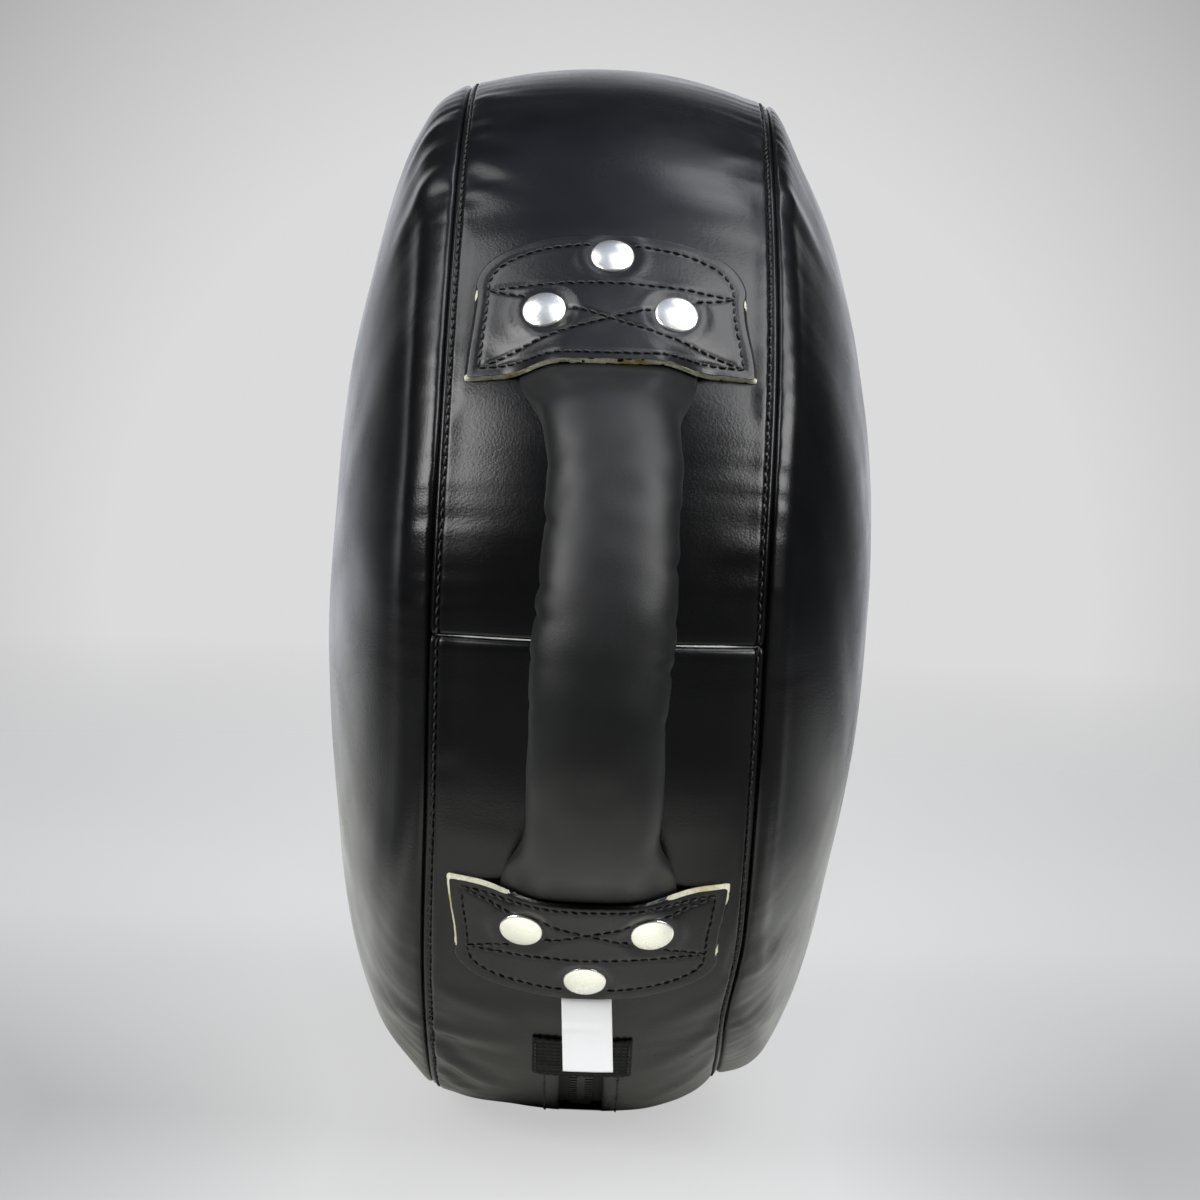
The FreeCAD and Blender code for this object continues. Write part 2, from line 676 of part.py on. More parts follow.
def pull_tab():
    """Tab hanging from its pin, which runs along X under the slider's bail."""
    pin = rim_point(0, slider_heights()[2], SLIDER_REST_PHI)
    half, thick = TAB_WIDTH / 2, TAB_THICKNESS / 2
    clear = BAIL_LENGTH / 2 + BAIL_WALL

    def block(x0, x1, drop0, drop1):
        corner = Vector(x0, pin.y - thick, pin.z - drop1)
        return Part.makeBox(x1 - x0, TAB_THICKNESS, drop1 - drop0, corner)

    plate = block(-half, half, clear, TAB_LENGTH)
    corners = [edge for edge in plate.Edges if abs(edge.tangentAt(0).y) > 0.9]
    low = [edge for edge in corners if edge.BoundBox.ZMax < pin.z - TAB_LENGTH + WELD]
    plate = plate.makeFillet(min(TAB_CORNER, half * 0.9), low)
    hole = Part.makeCylinder(TAB_HOLE / 2, 4 * thick, Vector(
        0, pin.y - 2 * thick, pin.z - TAB_LENGTH + TAB_HOLE / 2 + TAB_ARM), Vector(0, 1, 0))
    bar = Part.makeCylinder(PIN_DIAMETER / 2, 2 * half, pin - Vector(half, 0, 0), Vector(1, 0, 0))
    arms = [block(-half, TAB_ARM - half, 0, clear + WELD), block(half - TAB_ARM, half, 0, clear + WELD)]
    return fused([plate.cut(hole), bar] + arms)


# ---- Label

def label():
    """Blank tag that hangs from the far edge of the front lower patch."""
    top = rim_point(0, drape_radius(0, -LABEL_PHI), LABEL_PHI)
    corner = Vector(-LABEL_WIDTH / 2, top.y - PATCH_THICKNESS / 2, top.z - LABEL_LENGTH)
    corner -= Vector(0, LABEL_GAP, LABEL_GAP)
    return Part.makeBox(LABEL_WIDTH, LABEL_THICKNESS, LABEL_LENGTH, corner)


# ---- The whole shield

def four_ways(shape):
    """A front upper piece and its copies below it and on the back, by name."""
    lower = flipped_down(shape)
    return {
        "front_upper": shape, "front_lower": lower,
        "back_upper": flipped_back(shape), "back_lower": flipped_back(lower),
    }


def build():
    nodes = {}
    rivets = [rivet_pieces(*rivet_place(x, phi)) for x, phi in RIVET_PLACES]
    rivet, washer, hole, seat, washer_seat = zip(*rivets)
    holes = four_ways(Part.makeCompound(hole))

    right_face = face_panel()
    nodes["face_panel_right"] = right_face
    nodes["face_panel_left"] = flipped_side(right_face)
    upper, lower = gusset_panels()
    nodes["gusset_upper"] = cut_all(upper, [holes["front_upper"], holes["back_upper"]])
    nodes["gusset_lower"] = cut_all(lower, [holes["front_lower"], holes["back_lower"]])

    pockets = foam_pockets()
    core = CORE_THICKNESS / 2
    edge = core + LAYER_THICKNESS
    nodes["foam_core"] = foam_disc(-core, core, pockets)
    nodes["foam_layer_right"] = foam_disc(core + LAYER_GAP, edge, pockets)
    nodes["foam_layer_left"] = foam_disc(-edge, -core - LAYER_GAP, pockets)
    nodes["foam_crown_right"] = foam_crown(edge + LAYER_GAP)
    nodes["foam_crown_left"] = flipped_side(nodes["foam_crown_right"])

    body = Part.makeCompound([swept([
        line((-HALF_WIDTH, 0), (-HALF_WIDTH, SEAM_RADIUS)),
        crown_edge(-HALF_WIDTH, HALF_WIDTH, 0.0),
        line((HALF_WIDTH, SEAM_RADIUS), (HALF_WIDTH, 0)), line((HALF_WIDTH, 0), (-HALF_WIDTH, 0)),
    ], ALL_ROUND)])
    cover, core = handle_shapes(body)
    cover = cut_all(cover, [holes["front_upper"], holes["front_lower"]])
    nodes["handle_cover_front"], nodes["handle_core_front"] = cover, core
    nodes["handle_cover_back"] = flipped_back(cover)
    nodes["handle_core_back"] = flipped_back(core)

    patch = cut_all(patch_blank(), list(hole) + list(seat))
    backing = cut_all(backing_blank(), list(hole) + list(washer_seat))
    for name, shape in four_ways(patch).items():
        nodes["patch_" + name] = shape
    for name, shape in four_ways(backing).items():
        nodes["backing_" + name] = shape
    for part, shapes in (("rivets", rivet), ("rivet_washers", washer)):
        copies = four_ways(Part.makeCompound(shapes))
        for side in ("front", "back"):
            pair = [copies[side + "_upper"], copies[side + "_lower"]]
            nodes[part + "_" + side] = Part.makeCompound(pair)

    for name, side in (("left", -1), ("right", 1)):
        nodes["zip_tape_" + name] = zip_tape(side)
        nodes["zip_teeth_" + name] = Part.makeCompound(zip_teeth(side))
    nodes["zip_top_stops"] = Part.makeCompound(zip_top_stops())
    nodes["zip_bottom_stop"] = zip_bottom_stop()
    nodes["zip_end_tab_front"] = zip_end_tab(ZIP_FRONT_PHI, 1)
    nodes["zip_end_tab_back"] = zip_end_tab(ZIP_BACK_PHI, -1)
    nodes["zip_slider"] = zip_slider()
    nodes["zip_pull_tab"] = pull_tab()
    nodes["label"] = label()
    return nodes


os.makedirs("parts", exist_ok=True)
for node, shape in build().items():
    shape.exportStep("parts/" + node + ".step")
    solids = shape.Solids
    box = shape.BoundBox
    print(node, len(solids), "solids", "valid" if shape.isValid() else "NOT VALID",
          "volume %.0f" % sum(solid.Volume for solid in solids),
          "x %.1f..%.1f y %.1f..%.1f z %.1f..%.1f"
          % (box.XMin, box.XMax, box.YMin, box.YMax, box.ZMin, box.ZMax))
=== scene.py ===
import math

import bmesh
import bpy
import numpy as np
from mathutils import Matrix, Vector

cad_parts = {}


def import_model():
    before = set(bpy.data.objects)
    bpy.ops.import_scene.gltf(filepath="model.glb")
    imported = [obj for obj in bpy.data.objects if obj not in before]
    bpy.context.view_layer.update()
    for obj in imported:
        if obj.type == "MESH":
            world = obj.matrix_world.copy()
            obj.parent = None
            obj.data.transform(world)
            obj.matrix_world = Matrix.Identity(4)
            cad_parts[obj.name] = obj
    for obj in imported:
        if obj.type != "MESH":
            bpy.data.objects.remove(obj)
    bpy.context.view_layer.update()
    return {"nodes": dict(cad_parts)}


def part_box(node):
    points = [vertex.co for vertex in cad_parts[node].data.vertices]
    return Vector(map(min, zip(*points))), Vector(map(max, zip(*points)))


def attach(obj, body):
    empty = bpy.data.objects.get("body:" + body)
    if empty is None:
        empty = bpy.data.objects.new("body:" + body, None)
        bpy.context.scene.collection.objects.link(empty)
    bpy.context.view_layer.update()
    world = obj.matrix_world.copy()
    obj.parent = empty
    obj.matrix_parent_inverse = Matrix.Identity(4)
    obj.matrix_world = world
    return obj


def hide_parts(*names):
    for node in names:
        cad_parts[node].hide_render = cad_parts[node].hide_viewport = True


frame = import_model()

# Looks of the round striking shield. It stands on its rim: the disc axis runs along X, with one
# handle on -Y and one on +Y. A place on the rim is given by x and phi, in degrees: 0 at the
# middle of the front handle, 90 at the top, -90 at the zip below. Sizes are in metres.

MM = 0.001

# ---- Sizes read from the frame

face_low, face_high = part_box("face_panel_right")
SEAM_RADIUS = face_high.y
HALF_WIDTH = face_low.x
FACE_DOME = face_high.x - face_low.x
CENTRE_Z = (face_low.z + face_high.z) / 2
RIM_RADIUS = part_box("gusset_upper")[1].z - CENTRE_Z
HANDLE_REACH = -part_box("handle_cover_front")[0].y
CROWN = RIM_RADIUS - SEAM_RADIUS
CROWN_ARC = (HALF_WIDTH ** 2 + CROWN ** 2) / (2 * CROWN)
CROWN_CENTRE = RIM_RADIUS - CROWN_ARC
CENTRE = np.array([0.0, 0.0, CENTRE_Z])
RIM_DEGREE = math.radians(RIM_RADIUS)  # length of one degree of phi along the rim
IN_METRES = np.array([1, RIM_DEGREE])  # turns (x, phi) into metres on the rim

# ---- Sizes shared with the part's source

DOME_FULLNESS = 2.1
DOME_SHOULDER = 1.47
SKIN = 1.8 * MM
SEAM_ALLOWANCE = 9 * MM
CROSS_SEAM_PHI = -1.3
GRIP_WIDTH = 46 * MM
GRIP_THICKNESS = 32 * MM
GRIP_FOOT = 10 * MM
GRIP_SHAPE = 2.3
ARCH_SHAPE = 2.2
GRIP_WAIST = 0.04
GRIP_FLARE = 0.16
GRIP_PRESSED = 0.30
GRIP_UPRIGHT = 0.35
TONGUE_WIDTH = 60 * MM
TONGUE_END_PHI = 35.5
TONGUE_SHAPE = 3.0
PATCH_WIDTH = 97 * MM
PATCH_THICKNESS = 2.7 * MM
PATCH_START_PHI = 24.6
PATCH_CORNER_PHI = 34.4
PATCH_END_PHI = 40.7
PATCH_CORNER_SHAPE = 2.6
PATCH_GAP = 0.2 * MM
DRAPE_RISE = 14 * MM
DRAPE_FADE = 8.0
RIVET_HEAD = 15 * MM
RIVET_POST = 3.5 * MM
RIVET_PLACES = ((-22.4 * MM, 31.2), (22.4 * MM, 31.2), (0.0, 37.9))
ZIP_FRONT_PHI = -57.0
ZIP_BACK_PHI = -127.0
SLOT_WIDTH = 16 * MM
TAPE_DEPTH = 3.8 * MM
END_TAB_WIDTH = 36 * MM
END_TAB_LENGTH = 28 * MM
END_TAB_THICKNESS = 1.5 * MM

# ---- Sizes of the finish

COVER = 1.2 * MM  # handle cover, thinner than the frame's so that it clears its core
CORE_INSET = 1.9 * MM
FOAM_ROOM = 1.6 * MM  # from a face's skin to its foam
DRAPE_TOP = (16 * MM, 4 * MM)  # half the width in which a patch lies level across the handle
DRAPE_SIDE = (36 * MM, 52 * MM)  # where it has come down to the body: at its edge and far from it
GROOVE_DEPTH = 1.3 * MM  # how far both skins dip into a seam
GROOVE_WIDTH = 0.7 * MM
STITCH_INSET = 2.2 * MM  # from a seam to the stitches on its gusset side
STITCH_VALLEY = 0.95 * MM
VALLEY_WIDTH = 0.85 * MM
SEAM_GAP = 0.02 * MM
STITCH_PITCH = 3.6 * MM
CLOSE_PITCH = 3.3 * MM
THREAD = 0.75 * MM
FINE_THREAD = 0.6 * MM
SEAM_REACH = 16 * MM  # how far a seam's gathers run into the gusset
FACE_SEAM_REACH = 13 * MM  # and into a face
BORDER_INSET = 4.6 * MM
TOPSTITCH_X = 13.3 * MM
GRIP_SAG = 3.0 * MM
EDGE_SPLAY = 1.0 * MM  # by which a patch's cut edge leans outwards
EDGE_FRAY = 0.09 * MM
LOW_EDGE_SHIFT = 2.2  # degrees by which the lower patches stop short of the handle
RIVET_SINK = 0.5 * MM
RIVET_ROUND = 20 * MM  # radius of a rivet's low dome
RIVET_RIM = 0.8 * MM


# ---- Places and profiles

def rim_point(x, radius, phi):
    angle = np.radians(phi)
    x, y, z = np.broadcast_arrays(
        x, -radius * np.cos(angle), CENTRE_Z + radius * np.sin(angle))
    return np.stack([x, y, z], axis=-1)


def crown(x):
    return CROWN_CENTRE + np.sqrt(CROWN_ARC ** 2 - np.square(x))


def rim_angle(points):
    """phi of each point, from -180 to 180."""
    return np.degrees(np.arctan2(points[..., 2] - CENTRE_Z, -points[..., 1]))


def unit(vectors):
    return vectors / np.linalg.norm(vectors, axis=-1, keepdims=True)


def lengths_along(points):
    """How far along their line each of the points lies."""
    return np.concatenate([[0], np.cumsum(np.linalg.norm(np.diff(points, axis=0), axis=1))])


def read_along(where, path, values):
    """Rows of values, read between the places on the path where they are given."""
    return np.stack([np.interp(where, path, column) for column in values.T], axis=-1)


def beside_line(points, start, end):
    """Share of the way from start to end next to each point, and the distance from there."""
    way = end - start
    along = np.clip((points - start) @ way / max(way @ way, 1e-12), 0, 1)
    return along, np.linalg.norm(points - start - along[..., None] * way, axis=-1)


def full_turn(count):
    return np.linspace(0, 2 * math.pi, count, endpoint=False)


def smooth_step(value, start, end):
    share = np.clip((value - start) / (end - start), 0, 1)
    return share * share * (3 - 2 * share)


def hump(value, middle, width):
    return np.exp(-np.square((value - middle) / width))


def wave_noise(points, wavelength, seed, waves=9):
    """Soft random relief between about -1 and 1, the same on each run."""
    random = np.random.default_rng(seed)
    total = np.zeros(points.shape[:-1])
    for _ in range(waves):
        way = random.normal(size=3)
        way *= 2 * math.pi / (wavelength * random.uniform(0.7, 1.4) * np.linalg.norm(way))
        total += np.sin(points @ way + random.uniform(0, 2 * math.pi))
    return total / math.sqrt(waves)


def normals_of(points, wrap=False):
    """Unit normals of a grid of points, from its two directions."""
    down = np.gradient(points, axis=0)
    if wrap:
        across = (np.roll(points, -1, axis=1) - np.roll(points, 1, axis=1)) / 2
    else:
        across = np.gradient(points, axis=1)
    normal = np.cross(down, across)
    return normal / np.maximum(np.linalg.norm(normal, axis=-1, keepdims=True), 1e-12)


def smooth_through(knots, values, where):
    """Natural cubic spline through values at knots, read at where."""
    knots, where = np.asarray(knots, float), np.asarray(where, float)
    count, gaps = len(knots), np.diff(knots)
    slopes = np.diff(values, axis=0) / gaps[:, None]
    system, right = np.eye(count), np.zeros_like(values)
    for i in range(1, count - 1):
        system[i, i - 1:i + 2] = gaps[i - 1], 2 * (gaps[i - 1] + gaps[i]), gaps[i]
        right[i] = 6 * (slopes[i] - slopes[i - 1])
    bend = np.linalg.solve(system, right)
    i = np.clip(np.searchsorted(knots, where) - 1, 0, count - 2)
    gap, ahead, behind = (
        span[:, None] for span in (gaps[i], knots[i + 1] - where, where - knots[i]))
    return (
        (bend[i] * ahead ** 3 + bend[i + 1] * behind ** 3) / (6 * gap)
        + (values[i] / gap - bend[i] * gap / 6) * ahead
        + (values[i + 1] / gap - bend[i + 1] * gap / 6) * behind
    )


# ---- Meshes

WELD_DISTANCE = 0.02 * MM


def grid_faces(rows, columns, wrap=False, first=0):
    i = np.arange(rows - 1)[:, None]
    j = np.arange(columns if wrap else columns - 1)[None, :]
    after = (j + 1) % columns
    quads = np.stack(np.broadcast_arrays(
        i * columns + j, i * columns + after, (i + 1) * columns + after, (i + 1) * columns + j,
    ), axis=-1)
    return quads.reshape(-1, 4) + first


def new_piece(name, points, faces, materials, body="pad", slot=None):
    """Smooth-shaded mesh that rides on a body."""
    mesh = bpy.data.meshes.new(name)
    mesh.from_pydata([tuple(p) for p in points], [], [tuple(int(i) for i in f) for f in faces])
    for material in materials:
        mesh.materials.append(material)
    mesh.polygons.foreach_set("use_smooth", np.ones(len(mesh.polygons), bool))
    piece = bpy.data.objects.new(name, mesh)
    bpy.context.scene.collection.objects.link(piece)
    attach(piece, body)
    return piece


def grids_piece(name, grids, materials, wrap=False, capped=False, **options):
    """One mesh of several grids of points, welded where their edges meet."""
    points, faces, first = [], [], 0
    for grid in grids:
        rows, columns = grid.shape[:2]
        points.append(grid.reshape(-1, 3))
        faces.append(grid_faces(rows, columns, wrap, first))
        first += rows * columns
    piece = new_piece(name, np.concatenate(points), np.concatenate(faces), materials, **options)
    weld(piece, capped)
    return piece


def weld(piece, capped=False):
    """Join points that meet, close open ends if asked, and turn the faces outwards."""
    work = bmesh.new()
    work.from_mesh(piece.data)
    bmesh.ops.remove_doubles(work, verts=work.verts, dist=WELD_DISTANCE)
    if capped:
        bmesh.ops.holes_fill(work, edges=[edge for edge in work.edges if edge.is_boundary])
    bmesh.ops.recalc_face_normals(work, faces=work.faces)
    middle = sum((v.co for v in work.verts), Vector()) / len(work.verts)
    outward = sum(
        face.calc_area() * face.normal.dot(face.calc_center_median() - middle)
        for face in work.faces)
    if outward < 0:
        bmesh.ops.reverse_faces(work, faces=work.faces)
    work.to_mesh(piece.data)
    work.free()


def thicken(piece, thickness):
    """Give a surface its thickness on the inside."""
    modifier = piece.modifiers.new("skin", "SOLIDIFY")
    modifier.thickness = thickness
    modifier.offset = -1
    bake_modifiers(piece)


def bake_modifiers(piece):
    graph = bpy.context.evaluated_depsgraph_get()
    mesh = bpy.data.meshes.new_from_object(piece.evaluated_get(graph))
    piece.modifiers.clear()
    piece.data = mesh


# ---- Materials

def new_material(name, color, roughness, metallic=0.0, **settings):
    """Principled material, with its node tree, its shader and the place on the object."""
    material = bpy.data.materials.new(name)
    material.use_nodes = True
    tree = material.node_tree
    shader = tree.nodes["Principled BSDF"]
    shader.inputs["Base Color"].default_value = (*color, 1)
    shader.inputs["Roughness"].default_value = roughness
    shader.inputs["Metallic"].default_value = metallic
    for key, value in settings.items():
        shader.inputs[key.replace("_", " ")].default_value = value
    return material, tree, shader, add_node(tree, "ShaderNodeTexCoord").outputs["Object"]


def add_node(tree, kind, inputs=None, **properties):
    node = tree.nodes.new(kind)
    for key, value in properties.items():
        setattr(node, key, value)
    for key, value in (inputs or {}).items():
        if isinstance(value, bpy.types.NodeSocket):
            tree.links.new(value, node.inputs[key])
        else:
            node.inputs[key].default_value = value
    return node


def noise_of(tree, place, scale, detail=3.0, roughness=0.55):
    return add_node(tree, "ShaderNodeTexNoise", {
        "Vector": place, "Scale": scale, "Detail": detail, "Roughness": roughness,
    }).outputs["Fac"]


def remap(tree, value, low, high, to_low=0.0, to_high=1.0):
    return add_node(tree, "ShaderNodeMapRange", {
        "Value": value, "From Min": low, "From Max": high, "To Min": to_low, "To Max": to_high,
    }).outputs["Result"]


def mixed_color(tree, share, first, second):
    node = add_node(tree, "ShaderNodeMix", data_type="RGBA")
    tree.links.new(share, node.inputs["Factor"])
    for socket, value in ((node.inputs[6], first), (node.inputs[7], second)):
        if isinstance(value, bpy.types.NodeSocket):
            tree.links.new(value, socket)
        else:
            socket.default_value = (*value, 1)
    return node.outputs[2]


def paint(tree, shader, share, first, second):
    """Base colour: mixed from two colours by a share."""
    tree.links.new(mixed_color(tree, share, first, second), shader.inputs["Base Color"])


def toned(color, factor):
    return tuple(factor * part for part in color)


def combine(tree, operation, first, second):
    return add_node(tree, "ShaderNodeMath", {0: first, 1: second}, operation=operation).outputs[0]


def product(tree, first, *others):
    for other in others:
        first = combine(tree, "MULTIPLY", first, other)
    return first


def rest_of(tree, share):
    return combine(tree, "SUBTRACT", 1.0, share)


def mixed_value(tree, share, first, second):
    change = product(tree, combine(tree, "SUBTRACT", second, first), share)
    return combine(tree, "ADD", first, change)


def add_bump(tree, shader, height, distance, strength=1.0):
    bump = add_node(tree, "ShaderNodeBump", {
        "Height": height, "Distance": distance, "Strength": strength,
    })
    tree.links.new(bump.outputs["Normal"], shader.inputs["Normal"])


def leather(name, color, roughness, grain=1100.0, relief=0.03 * MM, specular=0.5):
    """Coated black leather: fine pebbled grain, slow creases, patchy gloss."""
    material, tree, shader, place = new_material(
        name, color, roughness, Specular_IOR_Level=specular)
    cells = add_node(tree, "ShaderNodeTexVoronoi", {
        "Vector": place, "Scale": grain, "Randomness": 1.0}, feature="F1").outputs["Distance"]
    fine = noise_of(tree, place, grain * 2.2, 2.0)
    slow = noise_of(tree, place, 28.0, 4.0, 0.6)
    gentle = noise_of(tree, place, 26.0, 1.0, 0.4)
    lighter = tuple(1.5 * part + 0.001 for part in color)
    paint(tree, shader, remap(tree, slow, 0.35, 0.7), color, lighter)
    gloss = noise_of(tree, place, 45.0, 2.0, 0.5)
    patchy = remap(tree, gloss, 0.3, 0.7, roughness - 0.03, roughness + 0.03)
    tree.links.new(patchy, shader.inputs["Roughness"])
    creases = product(tree, gentle, 4.0)
    height = combine(tree, "ADD", combine(tree, "ADD", cells, fine), creases)
    add_bump(tree, shader, height, relief)
    return material


def cut_leather(name, color, spot):
    """Fibrous raw edge of thick leather."""
    material, tree, shader, place = new_material(name, color, 0.85)
    fibre = noise_of(tree, place, 1500.0, 4.0, 0.7)
    tone = mixed_color(tree, remap(tree, fibre, 0.35, 0.65), toned(color, 0.62), color)
    stain = remap(tree, noise_of(tree, place, 70.0, 2.0), 0.56, 0.7)
    paint(tree, shader, stain, tone, spot)
    add_bump(tree, shader, fibre, 0.25 * MM)
    return material


def thread(name, color):
    material, tree, shader, place = new_material(
        name, color, 0.55, Sheen_Weight=0.03, Sheen_Roughness=0.4)
    twist = noise_of(tree, place, 2600.0, 2.0)
    paint(tree, shader, twist, toned(color, 0.6), toned(color, 1.6))
    add_bump(tree, shader, twist, 0.12 * MM)
    return material


def polished_metal(name, color, roughness, metallic=1.0):
    material, tree, shader, place = new_material(name, color, roughness, metallic)
    scuffs = noise_of(tree, place, 90.0, 2.0, 0.5)
    tree.links.new(remap(tree, scuffs, 0.35, 0.75, 0.96 * roughness, 1.06 * roughness),
                   shader.inputs["Roughness"])
    paint(tree, shader, noise_of(tree, place, 160.0), color, toned(color, 0.96))
    return material


def woven(name, color, scale, roughness=0.8, relief=0.12 * MM, specular=0.5):
    """Plain weave: two crossed sets of yarns."""
    material, tree, shader, place = new_material(name, color, roughness, Sheen_Weight=0.02,
                                          Specular_IOR_Level=specular)
    yarns = [
        add_node(tree, "ShaderNodeTexWave", {
            "Vector": place, "Scale": scale, "Distortion": 0.6, "Detail": 1.0,
        }, bands_direction=way).outputs["Fac"] for way in ("X", "Z")
    ]
    weave = combine(tree, "MAXIMUM", yarns[0], yarns[1])
    paint(tree, shader, weave, toned(color, 0.45), color)
    add_bump(tree, shader, weave, relief)
    return material


def foam(name, color, scale):
    material, tree, shader, place = new_material(name, color, 0.9)
    cells = add_node(tree, "ShaderNodeTexVoronoi", {
        "Vector": place, "Scale": scale}, feature="F1").outputs["Distance"]
    paint(tree, shader, remap(tree, cells, 0.1, 0.7), toned(color, 0.55), color)
    add_bump(tree, shader, cells, 0.6 * MM)
    return material


def moulded(name, color, roughness):
    material, tree, shader, place = new_material(name, color, roughness)
    grain = noise_of(tree, place, 900.0, 3.0)
    paint(tree, shader, grain, color, toned(color, 1.5))
    add_bump(tree, shader, grain, 0.03 * MM)
    return material


BODY_LEATHER = leather("body_leather", (0.0026, 0.0027, 0.0029), 0.25, specular=0.33)
HANDLE_LEATHER = leather("handle_leather", (0.0055, 0.0057, 0.0059), 0.50, relief=0.02 * MM,
                         specular=0.34)
PATCH_LEATHER = leather("patch_leather", (0.0040, 0.0041, 0.0044), 0.30, grain=800.0,
                        specular=0.36)
RAW_EDGE = cut_leather("raw_leather_edge", (0.80, 0.79, 0.60), (0.36, 0.28, 0.06))
SEAM_EDGE = cut_leather("raw_seam_edge", (0.60, 0.61, 0.58), (0.3, 0.29, 0.25))
THREAD_BLACK = thread("black_thread", (0.0035, 0.0035, 0.004))
RIVET_METAL = polished_metal("rivet_nickel", (0.99, 0.98, 0.89), 0.27, metallic=0.95)
WASHER_METAL = polished_metal("washer_steel", (0.52, 0.52, 0.53), 0.35)
SLIDER_METAL = polished_metal("black_slider_metal", (0.06, 0.06, 0.065), 0.3)
TAPE_FABRIC = woven("zip_tape_weave", (0.006, 0.006, 0.0065), 420.0)
WEBBING = woven("zip_end_webbing", (0.0030, 0.0030, 0.0034), 190.0, relief=0.3 * MM,
                specular=0.22)
ZIP_PLASTIC = moulded("black_zip_plastic", (0.012, 0.012, 0.013), 0.35)
SATIN = woven("label_satin", (0.92, 0.92, 0.94), 900.0, 0.5, 0.02 * MM)
FIRM_FOAM = foam("firm_foam", (0.16, 0.17, 0.18), 900.0)
SOFT_FOAM = foam("soft_foam", (0.58, 0.52, 0.34), 600.0)
BACKING = leather("backing_leather", (0.10, 0.065, 0.04), 0.6, grain=500.0, specular=0.3)

NODE_FINISHES = (
    ("foam_crown", SOFT_FOAM), ("foam", FIRM_FOAM), ("handle_core", SOFT_FOAM),
    ("backing", BACKING), ("rivets", RIVET_METAL), ("rivet_washers", WASHER_METAL),
    ("zip_tape", TAPE_FABRIC), ("zip_teeth", ZIP_PLASTIC), ("zip_top_stops", ZIP_PLASTIC),
    ("zip_bottom_stop", ZIP_PLASTIC), ("zip_end_tab", WEBBING), ("zip_slider", SLIDER_METAL),
    ("zip_pull_tab", SLIDER_METAL), ("label", SATIN), ("face_panel", BODY_LEATHER),
    ("gusset", BODY_LEATHER), ("handle_cover", HANDLE_LEATHER), ("patch", PATCH_LEATHER),
)


def dress_frame():
    for name, node in frame["nodes"].items():
        finish = next(material for start, material in NODE_FINISHES if name.startswith(start))
        node.data.materials.clear()
        node.data.materials.append(finish)


# ---- How the stuffed body has settled

# Soft folds in the skin: start and end (x in mm, phi), width and rise in mm
FOLDS = (
    ((-54, 62), (-34, 58), 4.5, 0.7), ((-54, 56), (-30, 50), 5.0, 0.9),
    ((-54, 50.5), (-37, 47.5), 3.5, 0.7), ((-54, 70), (-36, 68), 4.0, 0.6),
    ((53, 58), (36, 56), 5.0, 0.5), ((54, 66), (33, 68), 5.0, 0.5),
    ((-55, -43), (-30, -45.5), 4.0, 0.7), ((-55, -52), (-22, -50.5), 5.0, 1.1),
    ((-54, -58), (-20, -66), 5.0, 1.2), ((-52, -65), (-24, -74), 4.5, 0.9),
    ((55, -41), (24, -47.5), 5.0, 1.0), ((55, -50), (21, -56.5), 5.0, 1.0),
    ((54, -60), (24, -68), 5.0, 0.9), ((54, -38.5), (46, -40), 3.0, 0.6),
    ((-54, -105), (-24, -110), 5.0, 0.9), ((54, -112), (22, -106), 5.0, 0.8),
    ((54, 118), (33, 122), 5.0, 0.8), ((-54, 131), (-32, 127), 5.0, 0.8),
    ((54, 214), (26, 210), 5.0, 0.9), ((-54, 222), (-24, 229), 5.0, 0.9),
    ((54, 15), (43, 14), 4.0, 0.5),
    ((54, 8.5), (40, 8), 3.5, 0.5), ((-54, -13), (-43, -12), 4.0, 0.4),
)
# The same on the faces: start and end (x in mm, z and y from the disc axis in mm), width, rise
FACE_FOLDS = (
    ((60, -118, -148), (92, -128, -96), 6.0, 1.2), ((58, -146, -120), (86, -150, -66), 6.0, 1.0),
    ((60, 150, -112), (88, 128, -96), 7.0, 0.9), ((-60, 148, -112), (-84, 122, -104), 7.0, 1.0),
    ((-60, -150, -114), (-84, -142, -70), 6.0, 0.9), ((-58, 171, -78), (-78, 152, -70), 5.0, 0.9),
    ((-62, 60, 170), (-90, 44, 132), 7.0, 0.9), ((62, -84, 160), (88, -70, 120), 7.0, 0.9),
)


def fold_relief(points, start, end, width, rise):
    """Ridge along a line with a shallow hollow beside it, faded at its ends."""
    along, away = beside_line(points, start, end)
    ridge = hump(away, 0, width) * (1 - 0.75 * along)
    return rise * (ridge - 0.4 * hump(away, 2 * width, width) * (1 - along))


def clear_of_fittings(points):
    """0 where patches, handles' feet and zip lie flat on the gusset, 1 well away from them."""
    phi, x = rim_angle(points), np.abs(points[..., 0])
    beside = smooth_step(x, PATCH_WIDTH / 2, PATCH_WIDTH / 2 + 4 * MM)
    tilt = np.abs(np.where(np.abs(phi) > 90, 180 - np.abs(phi), np.abs(phi)))
    past = smooth_step(np.abs(tilt - (PATCH_START_PHI + PATCH_END_PHI) / 2), 9.0, 13.0)
    zip_side = smooth_step(x, 15 * MM, 26 * MM)
    zip_end = smooth_step(np.abs(phi - (ZIP_FRONT_PHI + ZIP_BACK_PHI) / 2), 44.0, 50.0)
    return np.maximum(beside, past) * np.maximum(zip_side, zip_end)


